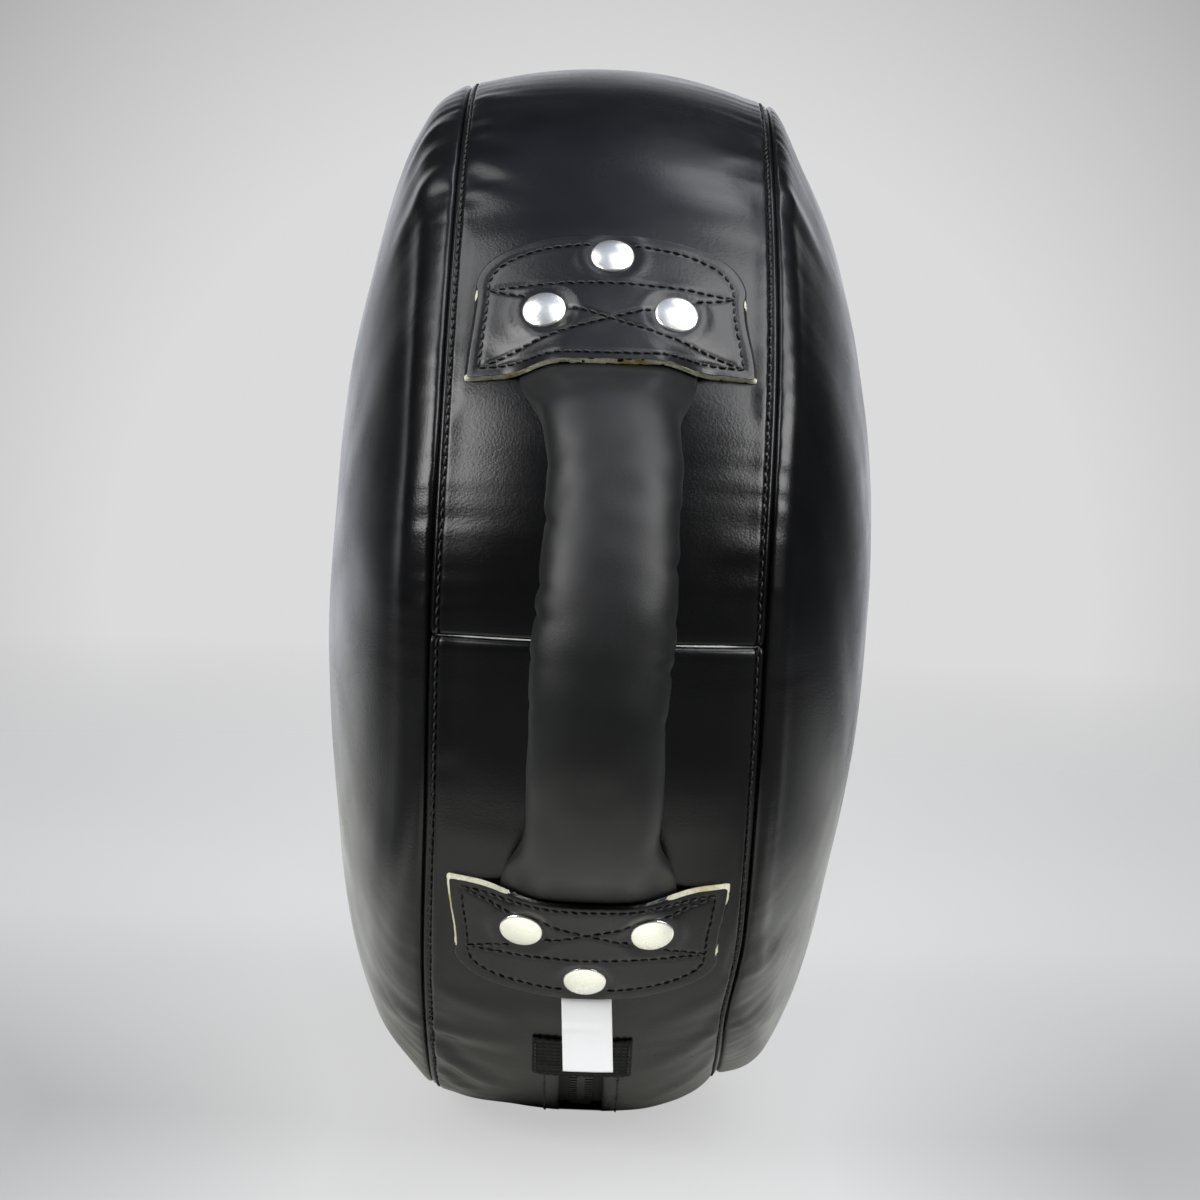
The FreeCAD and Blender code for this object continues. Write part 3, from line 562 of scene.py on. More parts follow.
def seam_puckers(points, phi, away, reach):
    """Short gathers that run out from a seam, stronger near the top."""
    side = np.sign(points[..., 0]) * 7
    row = np.stack([phi * 3.3 * MM, side * 11 * MM, side * 0], axis=-1)
    gathers = wave_noise(row, 11 * MM, 31) + 0.6 * wave_noise(row, 6.5 * MM, 32)
    swell = 0.35 + 0.35 * (1 + wave_noise(row, 120 * MM, 33)) + 0.5 * hump(np.abs(phi), 62, 22)
    return 0.13 * MM * gathers * swell * np.exp(-away / reach) * smooth_step(away, 0, 2.5 * MM)


def groove(away):
    """Both skins dip where they are sewn together."""
    return -GROOVE_DEPTH * np.exp(-np.square(away / GROOVE_WIDTH))


def stitch_valley(away):
    """The gusset dips again under its row of stitches, and its edge lies a little low."""
    edge = 0.3 * MM * hump(away, 0, 1.6 * MM)
    return -STITCH_VALLEY * hump(away, STITCH_INSET, VALLEY_WIDTH) - edge


def settled(points, normals, away, reach, shoulder=0.0):
    """Points of the skin moved as stuffing, sewing and standing have moved it."""
    phi = rim_angle(points)
    free = clear_of_fittings(points)
    relief = 0.65 * MM * wave_noise(points, 95 * MM, 11)
    relief = relief + 0.07 * MM * wave_noise(points, 34 * MM, 12)
    for start, end, width, rise in FOLDS:
        ends = [rim_point(x * MM, crown(x * MM), turn) for x, turn in (start, end)]
        rise = np.where(np.abs(points[..., 0]) > HALF_WIDTH, 0.4, 1.0) * rise
        relief = relief + fold_relief(points, *ends, width * MM, rise * MM)
    for start, end, width, rise in FACE_FOLDS:
        ends = [CENTRE + np.array([x, y, z]) * MM for x, z, y in (start, end)]
        relief = relief + fold_relief(points, *ends, width * MM, rise * MM)
    relief = relief * smooth_step(away, -1 * MM, 9 * MM)
    relief = free * (relief + seam_puckers(points, phi, away, reach))
    moved = points + normals * (relief + shoulder + groove(away))[..., None]
    return stood(swayed(moved))


def swayed(points):
    """Hand sewing: the seams wander sideways, and the two faces are not filled alike.

    The bare numbers next to high, low and front are distances from the disc axis, in metres.
    """
    x, high = points[..., 0], points[..., 2] - CENTRE_Z
    low, front = -high, -points[..., 1]
    right = smooth_step(x, -0.5 * HALF_WIDTH, 0.5 * HALF_WIDTH)
    on_dome = HALF_WIDTH + 0.3 * FACE_DOME
    # The seams at the front: the right one out above, both left below, the left one out between
    sewn = smooth_step(front, -0.05, 0.05) * smooth_step(np.abs(x), 0.87 * HALF_WIDTH, HALF_WIDTH)
    wander = 1.9 * MM * hump(high, 0.09, 0.06) * right - 1.3 * MM * hump(high, -0.125, 0.05)
    wander = wander - 0.8 * MM * hump(high, 0.0, 0.06) * (1 - right)
    # The right seam is tucked in towards the foot, except at the back
    tucked = 4.2 * MM * smooth_step(low, 0.105, 0.15)
    tucked = tucked * smooth_step(x, 0.62 * HALF_WIDTH, HALF_WIDTH)
    tucked = tucked * (1 - smooth_step(x, HALF_WIDTH, on_dome)) * smooth_step(front, -0.16, -0.09)
    # The domes lean to the left above and below the middle, the right one only above
    beyond = smooth_step(np.abs(x), HALF_WIDTH, HALF_WIDTH + 0.4 * FACE_DOME)
    lean = -2.4 * MM * np.minimum(np.square(high / 0.135), 1.5)
    lean = lean * (1 - right * smooth_step(low, 0.08, 0.13))
    # Share of the radius: the top slopes down to the right; the foot is drawn in on the right,
    # most at the seam, and full on the left, but only as far as the seam
    scale = 1 - 0.0090 * smooth_step(high, 0.10, 0.19) * np.clip(x / HALF_WIDTH, -1, 1)
    drawn = 0.017 * smooth_step(low, 0.13, 0.185) * smooth_step(x, 0.4 * HALF_WIDTH, HALF_WIDTH)
    scale = scale - drawn * (1 - 0.6 * smooth_step(x, HALF_WIDTH, on_dome))
    scale = scale - 0.016 * smooth_step(low, 0.15, 0.18) * hump(x, HALF_WIDTH, 6 * MM)
    foot = smooth_step(low, 0.155, 0.19)
    scale = scale + 0.011 * foot * smooth_step(-x, 0.4 * HALF_WIDTH, 0.8 * HALF_WIDTH)
    scale = scale - 0.018 * foot * smooth_step(-x, HALF_WIDTH - 3 * MM, HALF_WIDTH + 10 * MM)
    moved = points.copy()
    moved[..., 0] += sewn * wander - tucked + beyond * lean
    moved[..., 1:] = CENTRE[1:] + (points - CENTRE)[..., 1:] * scale[..., None]
    return moved


def stood(points):
    """Pressed flat where it stands."""
    moved = points.copy()
    low = moved[..., 2]
    soft = 2.5 * MM
    moved[..., 2] = np.where(low < soft, soft * np.exp(np.minimum(low - soft, 0) / soft), low)
    return moved


# ---- Faces

def face_rings(count, inset=0.0):
    """Points (x, radius), unit normals and distances from the seam, closest near the seam."""
    turn = np.radians(np.linspace(0, 90, 4000))
    x = HALF_WIDTH + FACE_DOME * np.sin(turn) ** (2 / DOME_SHOULDER)
    radius = SEAM_RADIUS * np.maximum(np.cos(turn), 0) ** (2 / DOME_FULLNESS)
    radius[-1] = 0.0
    profile = np.stack([x, radius], axis=-1)
    path = lengths_along(profile)
    away = path[-1] * np.linspace(0, 1, count) ** 1.8
    profile = read_along(away, path, profile)
    x, radius = profile.T
    along = unit(np.gradient(profile, away, axis=0))
    normal = np.stack([-along[:, 1], along[:, 0]], axis=-1)
    return x - inset * normal[:, 0], np.maximum(radius - inset * normal[:, 1], 0), normal, away


def foam_dome(side, name):
    """Soft foam behind a face, to the line where its layers begin."""
    phi = np.linspace(-180, 180, 180, endpoint=False)
    x, radius, _, _ = face_rings(40, SKIN + FOAM_ROOM)
    outer = rim_point(side * x[:, None], radius[:, None], phi[None, :])
    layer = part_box("foam_layer_right")[1].x
    edge = np.linspace(outer[0], outer[0] + [side * (layer - x[0]), 0, 0], 6)[::-1]
    inwards = np.linspace(1, 0, 12)[:-1, None, None]
    flat = edge[0] + (CENTRE - edge[0]) * np.array([0, 1, 1]) * inwards
    dome = swayed(np.concatenate([flat, edge[:-1], outer]))
    piece = grids_piece(name, [dome], [SOFT_FOAM], wrap=True, slot="soft_foam")
    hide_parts(name.replace("foam_dome", "foam_crown"))


def foam_layer(name):
    """Firm foam between the core and a dome, drawn in together with the skin over it."""
    node = frame["nodes"][name]
    points = np.array([list(node.matrix_world @ vertex.co) for vertex in node.data.vertices])
    faces = [tuple(polygon.vertices) for polygon in node.data.polygons]
    piece = new_piece("drawn_in_" + name, swayed(points), faces, [FIRM_FOAM], slot="firm_foam")
    weld(piece)
    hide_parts(name)


# Fuller skin beside a face's seam: rise, distance from the seam and width in mm, by side
SHOULDERS = {-1: (2.3, 10, 8), 1: (0.9, 7, 5)}


def face_piece(side, name):
    phi = np.linspace(-180, 180, 720, endpoint=False)
    x, radius, normal, away = face_rings(96)
    points = rim_point(side * x[:, None], radius[:, None], phi[None, :])
    outward = rim_point(side * normal[:, :1], normal[:, 1:], phi[None, :]) - CENTRE
    away = np.broadcast_to(away[:, None], points.shape[:-1])
    rise, peak, width = SHOULDERS[side]
    full = rise * MM * hump(away, peak * MM, width * MM) * (1 - hump(away, 0, 1.4 * MM))
    high = points[..., 2] - CENTRE_Z
    full = full * (1 - smooth_step(-high, 0.10, 0.16)) * (1 - 0.5 * smooth_step(high, 0.12, 0.17))
    if side < 0:
        full = full * (1 - 0.65 * smooth_step(-high, -0.05, 0.02))
    skin = settled(points, outward, away, FACE_SEAM_REACH, full)
    skin[0, :, 0] += side * SEAM_GAP
    hem = [skin[0] + (CENTRE - skin[0]) * share for share in (0.035, 0.018)]
    hem = [np.stack([skin[0, :, 0], ring[:, 1], ring[:, 2]], axis=-1) for ring in hem]
    grid = np.concatenate([np.stack(hem), skin])
    piece = grids_piece(name, [grid], [BODY_LEATHER], wrap=True, slot="body_leather")
    thicken(piece, SKIN)
    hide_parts(name.replace("face", "face_panel"))


# ---- Gusset

def gusset_columns():
    """x of the gusset's columns: close together at the seams, one at each slot edge."""
    half = SLOT_WIDTH / 2
    seam = np.linspace(0, 4 * MM, 15)
    inner = seam[-1] + (HALF_WIDTH - half - seam[-1]) * np.linspace(0, 1, 25)[1:] ** 1.3
    outer = HALF_WIDTH - np.concatenate([seam, inner])
    return np.concatenate([-outer, np.linspace(-half, half, 7)[1:-1], outer[::-1]])


def gusset_normals(x, phi):
    """Normals of the gusset, turned straight out at its sewn edges so that no gap opens there."""
    lean = x / CROWN_ARC * (1 - hump(HALF_WIDTH - np.abs(x), 0, 1.2 * MM))
    return rim_point(lean, np.sqrt(1 - lean ** 2), phi) - CENTRE


def gusset_grid(x, phi):
    points = rim_point(x[None, :], crown(x)[None, :], phi[:, None])
    normal = gusset_normals(x[None, :], phi[:, None])
    away = np.broadcast_to(HALF_WIDTH - np.abs(x), points.shape[:-1])
    ends = (CROSS_SEAM_PHI, -180 - CROSS_SEAM_PHI, 180 - CROSS_SEAM_PHI)
    across = np.min([np.abs(phi - end) for end in ends], axis=0) * RIM_DEGREE
    dip = 0.8 * MM * hump(across, 0, 1.6 * MM)
    skin = settled(points, normal, away, SEAM_REACH, stitch_valley(away))
    skin = skin - normal * dip[:, None, None]
    skin[:, 0, 0] += SEAM_GAP
    skin[:, -1, 0] -= SEAM_GAP
    return skin


def sunk(points, depth):
    """Copy of a row of points, moved towards the disc axis."""
    return points - unit((points - CENTRE) * [0, 1, 1]) * depth


# Depths of the strips turned in at the seams, at the gusset's ends and round the zip's slot
SEAM_WALL = (0, 0.4 * SEAM_ALLOWANCE, 0.8 * SEAM_ALLOWANCE)
END_WALL = (0, 0.35 * SEAM_ALLOWANCE, 0.8 * SEAM_ALLOWANCE)
SLOT_WALL = (0, 0.3 * TAPE_DEPTH, 0.95 * TAPE_DEPTH)


def wall(row, depths, axis=0):
    """Strip of points that runs inwards from a row of the skin."""
    return np.stack([sunk(row, depth) for depth in depths], axis=axis)


def gusset_upper():
    phi = np.linspace(CROSS_SEAM_PHI, 180 - CROSS_SEAM_PHI, 320)
    grid = gusset_grid(gusset_columns(), phi)
    walls = [wall(grid[:, column], SEAM_WALL, 1) for column in (0, -1)]
    walls += [wall(grid[row], END_WALL) for row in (0, -1)]
    finished_gusset("gusset_top", [grid] + walls, "gusset_upper")


def gusset_lower():
    """The lower length, in three stretches: the middle one is split by the zip's slot."""
    x = gusset_columns()
    low, high = -180 - CROSS_SEAM_PHI, CROSS_SEAM_PHI
    step = 0.12  # degrees left free at each end
    stretches = [
        np.linspace(low + step, ZIP_BACK_PHI, 88), np.linspace(ZIP_BACK_PHI, ZIP_FRONT_PHI, 120),
        np.linspace(ZIP_FRONT_PHI, high - step, 94),
    ]
    whole = [gusset_grid(x, phi) for phi in stretches]
    left = np.searchsorted(x, -SLOT_WIDTH / 2 + 0.01 * MM)
    right = np.searchsorted(x, SLOT_WIDTH / 2 - 0.01 * MM)
    back, middle, front = whole
    grids = [back, middle[:, :left], middle[:, right:], front]
    walls = [wall(back[0], END_WALL), wall(front[-1], END_WALL)]
    walls += [wall(grid[:, column], SEAM_WALL, 1) for grid in whole for column in (0, -1)]
    walls += [wall(middle[:, column], SLOT_WALL, 1) for column in (left - 1, right)]
    walls += [wall(middle[row, left - 1:right + 1], SLOT_WALL) for row in (0, -1)]
    finished_gusset("gusset_bottom", grids + walls, "gusset_lower")


def finished_gusset(name, grids, node):
    piece = grids_piece(name, grids, [BODY_LEATHER], slot="body_leather")
    thicken(piece, SKIN)
    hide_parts(node)


# ---- Stitches

STITCH_ALONG = np.array([-0.5, -0.44, -0.25, 0.0, 0.25, 0.44, 0.5])
STITCH_RISE = np.array([-0.9, -0.25, 0.42, 0.6, 0.42, -0.25, -0.9])
STITCH_THICK = np.array([0.45, 0.85, 1.0, 1.0, 1.0, 0.85, 0.45])
STITCH_SIDES = 6


def stitch_row(line, normals, pitch, random, thickness, fill):
    """Points of the stitches along a line: for each, rings from one end to the other."""
    path = lengths_along(line)
    count = max(int(path[-1] / pitch), 1)
    places = (np.arange(count) + 0.5) * path[-1] / count
    steps = (-0.4 * pitch, 0, 0.4 * pitch)
    before, middle, after = (read_along(places + step, path, line) for step in steps)
    along = unit(after - before)
    side = unit(np.cross(along, read_along(places, path, normals)))
    up = np.cross(side, along)
    slant = random.normal(0.12, 0.10, (count, 1))
    along, side = (along * np.cos(slant) + side * np.sin(slant),
                   side * np.cos(slant) - along * np.sin(slant))
    length = pitch * fill * random.uniform(0.92, 1.06, (count, 1, 1, 1))
    lift = thickness * random.uniform(-0.12, 0.12, (count, 1, 1, 1))
    turn = full_turn(STITCH_SIDES)[:, None]
    ring = side[:, None, None] * np.cos(turn) + up[:, None, None] * np.sin(turn)
    ahead, rise, thick = (part[:, None, None] for part in (STITCH_ALONG, STITCH_RISE, STITCH_THICK))
    return (middle[:, None, None] + along[:, None, None] * ahead * length
            + up[:, None, None] * (0.75 * thickness * rise + lift) + ring * thick * thickness / 2)


def stitch_piece(name, lines, seed, pitch=STITCH_PITCH, thickness=THREAD, fill=0.8, body="pad"):
    """Rows of sunk-in stitches along lines of points with normals."""
    random = np.random.default_rng(seed)
    rows = [stitch_row(line, normals, pitch, random, thickness, fill) for line, normals in lines]
    points = np.concatenate(rows)
    rings = len(STITCH_ALONG) * STITCH_SIDES
    quads = grid_faces(len(STITCH_ALONG), STITCH_SIDES, wrap=True)
    caps = (np.arange(STITCH_SIDES)[::-1], np.arange(rings - STITCH_SIDES, rings))
    faces = []
    for first in range(0, len(points) * rings, rings):
        faces += [face + first for face in quads]
        faces += [cap + first for cap in caps]
    return new_piece(name, points.reshape(-1, 3), faces, [THREAD_BLACK], body)


def skin_line(x, phi, lift=0.0):
    """Points and normals along a line on the settled gusset."""
    x, phi = np.broadcast_arrays(np.asarray(x, float), np.asarray(phi, float))
    points = rim_point(x, crown(x), phi)
    normals = gusset_normals(x, phi)
    away = HALF_WIDTH - np.abs(x)
    skin = settled(points, normals, away, SEAM_REACH, stitch_valley(away))
    return skin + normals * lift, normals


def seam_stitches():
    """Two rows round the body, on the gusset's side of each seam, and the zip's topstitching."""
    phi = np.linspace(-180, 180, 1441)
    for name, side in (("left", -1), ("right", 1)):
        line = skin_line(side * (HALF_WIDTH - STITCH_INSET), phi, 0.25 * MM)
        stitch_piece("seam_stitches_" + name, [line], 3 + side)
    along_zip = np.linspace(ZIP_BACK_PHI - 4, ZIP_FRONT_PHI + 7, 300)
    rows = [skin_line(side * TOPSTITCH_X, along_zip, 0.05 * MM) for side in (-1, 1)]
    stitch_piece("zip_topstitch", rows, 8, pitch=CLOSE_PITCH, thickness=FINE_THREAD)


def cross_seam_edges():
    """Pale raw edge that shows in the two seams between the gusset's lengths."""
    for name, phi in (("front", CROSS_SEAM_PHI), ("back", 180 - CROSS_SEAM_PHI)):
        x = np.linspace(-HALF_WIDTH + 2.5 * MM, HALF_WIDTH - 2.5 * MM, 160)
        wander = 0.12 * MM * wave_noise(np.stack([x, x * 0, x * 0], axis=-1), 14 * MM, 5)
        spread = (0.26 * MM + wander) * smooth_step(HALF_WIDTH - np.abs(x), 2 * MM, 16 * MM)
        rows = []
        for turn in full_turn(8):
            across = 0.1 * MM + spread * math.cos(turn)
            line, normals = skin_line(x, phi + across / RIM_DEGREE)
            rows.append(line + normals * (0.55 * MM + 0.3 * MM * math.sin(turn)))
        tube = np.stack(rows, axis=1)
        grids_piece("cross_seam_edge_" + name, [tube], [SEAM_EDGE], wrap=True, capped=True)


# ---- Drape of the handle's tongues and the patches over them

def drape_height(phi):
    span = PATCH_END_PHI - PATCH_START_PHI
    fall = np.exp(-(phi - PATCH_START_PHI) / DRAPE_FADE)
    return DRAPE_RISE * (fall - math.exp(-span / DRAPE_FADE))


def drape_share(x, phi):
    """1 across the handle's top, 0 where the patch has come down beside it."""
    far = smooth_step(phi, PATCH_START_PHI, PATCH_START_PHI + 7)
    top = DRAPE_TOP[0] + (DRAPE_TOP[1] - DRAPE_TOP[0]) * far
    side = DRAPE_SIDE[0] + (DRAPE_SIDE[1] - DRAPE_SIDE[0]) * far
    share = np.clip((np.abs(x) - top) / (side - top), 0, 1)
    return (1 + np.cos(math.pi * share)) / 2


def near_rivet(x, phi, rivet_x, rivet_phi):
    """Distance from a rivet's middle."""
    return np.hypot(x - rivet_x, (phi - rivet_phi) * RIM_DEGREE)


def drape_radius(x, phi):
    """Underside of a patch: it falls away beside the handle, and lies flat under its rivets."""
    share = drape_share(x, phi)
    for rivet_x, rivet_phi in RIVET_PLACES:
        away = near_rivet(x, phi, rivet_x, rivet_phi)
        held = 1 - smooth_step(away, 0.5 * RIVET_HEAD, 0.85 * RIVET_HEAD)
        share = share + held * (drape_share(rivet_x, rivet_phi) - share)
    return crown(x) + drape_height(phi) * share + PATCH_GAP


def superellipse(angle, shape):
    cosine, sine = np.cos(angle), np.sin(angle)
    return (np.sign(cosine) * np.abs(cosine) ** (2 / shape),
            np.sign(sine) * np.abs(sine) ** (2 / shape))


def mirrored(points, back, low):
    """Points of the front upper quarter, put on the back or below the disc axis."""
    moved = np.array(points)
    if back:
        moved[..., 1] = -moved[..., 1]
    if low:
        moved[..., 2] = 2 * CENTRE_Z - moved[..., 2]
    return moved


def mirrored_ways(ways, back, low):
    """The same for directions."""
    return mirrored(ways + CENTRE, back, low) - CENTRE


# ---- Handles

GRIP_SIDES = 72
GRIP_STITCH_REACH = 70 * MM  # above and below the axis


def grip_section(share, inset):
    half_span = GRIP_FOOT + SEAM_RADIUS * math.sin(math.radians(PATCH_START_PHI))
    height, fall = share * half_span, abs(share)
    foot = SEAM_RADIUS - 0.6 * MM
    rise = HANDLE_REACH - GRIP_THICKNESS / 2 - foot
    reach = foot + rise * (1 - fall ** ARCH_SHAPE)
    slope = rise * ARCH_SHAPE * fall ** (ARCH_SHAPE - 1) / half_span
    lean = math.copysign(math.atan(slope) * (1 - GRIP_UPRIGHT * fall ** 4), share)
    waist = GRIP_WAIST * math.sin(math.pi * fall)
    half_width = GRIP_WIDTH / 2 * (1 - waist + GRIP_FLARE * fall ** 8) - inset
    half_thick = GRIP_THICKNESS / 2 * (1 - GRIP_PRESSED * fall ** 4) - inset
    across, out = superellipse(full_turn(GRIP_SIDES), GRIP_SHAPE)
    return np.stack([across * half_width, -(reach + out * half_thick * math.cos(lean)),
                     CENTRE_Z + height + out * half_thick * math.sin(lean)], axis=-1)


def tongue_section(phi, low):
    clear = 0.15 * MM
    across, out = superellipse(full_turn(GRIP_SIDES), TONGUE_SHAPE)
    x = across * TONGUE_WIDTH / 2
    flattened = 1 - 0.4 * smooth_step(phi, PATCH_START_PHI + 1, PATCH_START_PHI + 5)
    top = drape_height(phi) * drape_share(x, phi) * flattened
    points = rim_point(x, crown(x) + (top + clear) / 2 + (top - clear) / 2 * out, phi)
    return mirrored(points, False, low)


def grip_line(sections, count):
    """Smooth tube of points through the sections."""
    sections = np.stack(sections)
    knots = lengths_along(sections.mean(axis=1))
    where = np.linspace(0, knots[-1], count)
    return smooth_through(knots, sections.reshape(len(sections), -1), where).reshape(count, -1, 3)


def grip_sway(points):
    """The grip is sewn a little crooked, bowed sideways above its middle, and it sags."""
    high = points[..., 2] - CENTRE_Z
    window = 1 - smooth_step(np.abs(high), 0.055, 0.088)
    shift = 0.85 * MM + 2.6 * MM * hump(high, 0.040, 0.038)
    moved = points.copy()
    moved[..., 0] += window * shift
    moved[..., 1] += GRIP_SAG * np.sin(math.pi * np.clip(high / 0.088, -1, 1))
    return moved


# Nips in the sides of the grip, where its cover is gathered: side, height over the axis and depth
GRIP_NIPS = (
    (-1, 38, 0.7), (-1, 17, 0.6), (-1, 8, 0.9), (-1, -6, 0.5), (-1, -21, 0.4), (-1, 55, 0.3),
    (1, 24, 0.8), (1, -3, 0.5), (1, -9, 0.9), (1, 41, 0.5), (1, -26, 0.4), (1, 7, 0.4),
)


def grip_relief(points, angle):
    """Inward dents, in metres: nips, slow lumps and the seam along the finger side."""
    high = (points[..., 2] - CENTRE_Z) / MM
    dent = np.zeros(points.shape[:-1])
    for side, height, depth in GRIP_NIPS:
        flank = np.maximum(side * np.cos(angle), 0) ** 6
        tilt = height + 2.2 * np.sin(angle) * side
        dent += depth * MM * flank * (hump(high, tilt, 1.7) - 0.45 * hump(high, tilt + 5, 3.2))
    middle = smooth_step(82 - np.abs(high), 0, 20)
    lumps = 0.35 * MM * wave_noise(points, 42 * MM, 21)
    lumps = lumps + 0.12 * MM * wave_noise(points, 15 * MM, 22)
    finger = 0.9 * MM * np.exp(-np.square(np.sin((angle - 1.5 * math.pi) / 2) * 26))
    return (dent + finger - lumps) * middle


# Heights of the grip's sections, as shares of half its span
GRIP_SHARES = (-0.78, -0.6, -0.35, 0.0, 0.35, 0.6, 0.78)


def handle_pieces(name, back):
    """Cover with its tongues, filling and stitches of one handle."""
    steps = np.linspace(PATCH_START_PHI, TONGUE_END_PHI, 4)
    low_steps = np.linspace(PATCH_START_PHI + LOW_EDGE_SHIFT, TONGUE_END_PHI, 4)
    low = [tongue_section(phi, True) for phi in low_steps[::-1]]
    high = [tongue_section(phi, False) for phi in steps]
    tube = grip_line(low + [grip_section(share, 0) for share in GRIP_SHARES] + high, 210)
    inward = -normals_of(tube, wrap=True)
    middle = tube.mean(axis=1, keepdims=True)
    if np.sum((tube - middle) * inward) > 0:
        inward = -inward
    tube = grip_sway(tube + inward * grip_relief(tube, full_turn(GRIP_SIDES))[..., None])
    core = grip_sway(grip_line([grip_section(share, CORE_INSET) for share in GRIP_SHARES], 60))
    cover = grids_piece("handle_" + name, [mirrored(tube, back, False)], [HANDLE_LEATHER],
                        wrap=True, slot="handle_leather")
    thicken(cover, COVER)
    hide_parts("handle_cover_" + name)
    filling = grids_piece("handle_filling_" + name, [mirrored(core, back, False)], [SOFT_FOAM],
                          wrap=True, capped=True, slot="soft_foam")
    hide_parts("handle_core_" + name)
    finger_side = int(0.75 * GRIP_SIDES)
    ring = mirrored(tube, back, False)
    line = ring[:, finger_side]
    out = unit(line - ring.mean(axis=1))
    shown = np.abs(line[:, 2] - CENTRE_Z) < GRIP_STITCH_REACH
    for number, side in ((1, -1), (2, 1)):
        beside = ring[:, finger_side + 3 * side][shown]
        stitch_piece("grip_stitches_%s_%d" % (name, number), [(beside, out[shown])], 40 + side,
                     thickness=FINE_THREAD)


# ---- Patches

def patch_outline():
    """Closed outline (x, phi): square at the handle, rounded at the far side."""
    half, near = PATCH_WIDTH / 2, PATCH_START_PHI
    corner = 1.2 * MM
    turn = corner / RIM_DEGREE
    corners = [(-half, PATCH_CORNER_PHI), (-half, near + turn),
               (-half + 0.3 * corner, near + 0.3 * turn), (-half + corner, near)]
    corners += [(-x, phi) for x, phi in reversed(corners)]
    angle = np.linspace(0, math.pi, 60)[1:-1]
    across, out = superellipse(angle, PATCH_CORNER_SHAPE)
    arc = zip(half * across, PATCH_CORNER_PHI + (PATCH_END_PHI - PATCH_CORNER_PHI) * out)
    outline = np.array(corners + list(arc) + corners[:1])
    return sampled(outline, 1.0 * MM, closed=True)


def patch_place(x, phi, low):
    """Where a place on a cut patch lies once it is sewn on by hand."""
    far = np.clip((phi - PATCH_START_PHI) / (PATCH_END_PHI - PATCH_START_PHI), 0, 1)
    towards_arc = smooth_step(far, 0, 0.6)
    if low:
        beside = np.square(x / (PATCH_WIDTH / 2))
        shift = LOW_EDGE_SHIFT * (1 - far) ** (2 - 1.2 * beside)
        return x * (1 - 0.06 * towards_arc), phi + shift
    corner = smooth_step(x, 0, PATCH_WIDTH / 2) * (1 - towards_arc)
    return x * (1 - 0.045 * towards_arc) + 2.0 * MM * corner, phi + corner


def patch_seams(low):
    """Stitched lines of a patch as (x, phi): border, cross row and the two diagonals."""
    inset = BORDER_INSET / RIM_DEGREE
    half = PATCH_WIDTH / 2 - BORDER_INSET
    bottom, cross = PATCH_START_PHI + inset * 0.85, PATCH_CORNER_PHI
    across, out = superellipse(np.linspace(0, math.pi, 60), PATCH_CORNER_SHAPE)
    arc = np.stack([half * across, cross + (PATCH_END_PHI - inset - cross) * out], axis=-1)
    square = [(-half, cross), (-half, bottom), (half, bottom), (half, cross)]
    border = np.concatenate([square, arc])
    rows = [border, np.array([(-half, cross), (half, cross)])]
    rows += [np.array([(side * half, bottom), (-side * half, cross)]) for side in (-1, 1)]
    return [np.stack(patch_place(*sampled(row).T, low), axis=-1) for row in rows]


def sampled(line, spacing=1.0 * MM, closed=False):
    """A line of (x, phi) with points close together; a closed one doesn't repeat its first."""
    path = lengths_along(line * IN_METRES)
    count = max(int(path[-1] / spacing), 2)
    return read_along(np.linspace(0, path[-1], count, endpoint=not closed), path, line)


def patch_top(x, phi, seed, low):
    """Radius of a patch's outer surface, pulled in along its stitches and round its rivets."""
    here = np.stack([x, phi], axis=-1) * IN_METRES
    dip = np.zeros(x.shape)
    for row in patch_seams(low):
        line = sampled(row, 1.5 * MM) * IN_METRES
        away = np.min([beside_line(here, *ends)[1] for ends in zip(line[:-1], line[1:])], axis=0)
        dip = np.maximum(dip, 0.42 * MM * hump(away, 0, 0.9 * MM))
    for rivet_x, rivet_phi in RIVET_PLACES:
        away = near_rivet(x, phi, rivet_x, rivet_phi)
        dip = dip * smooth_step(away, 0.4 * RIVET_HEAD, 0.6 * RIVET_HEAD)
        dip = dip + RIVET_SINK * np.exp(-(away / (0.58 * RIVET_HEAD)) ** 8)
        dip = dip - 0.30 * MM * hump(away, 0.74 * RIVET_HEAD, 0.14 * RIVET_HEAD)
    points = rim_point(x, RIM_RADIUS, phi)
    dip = dip - 0.12 * MM * wave_noise(points, 22 * MM, seed)
    if low:
        edge = (phi - patch_place(x, PATCH_START_PHI, low)[1]) * RIM_DEGREE
        over_handle = 1 - smooth_step(np.abs(x), 24 * MM, 30 * MM)
        dip = dip + 2.3 * MM * over_handle * np.exp(-edge / (1.6 * MM))
    return drape_radius(x, phi) + PATCH_THICKNESS - dip


PATCH_RINGS = 36
POST_REACH = PATCH_GAP + PATCH_THICKNESS + SKIN + 4.3 * MM - RIVET_SINK


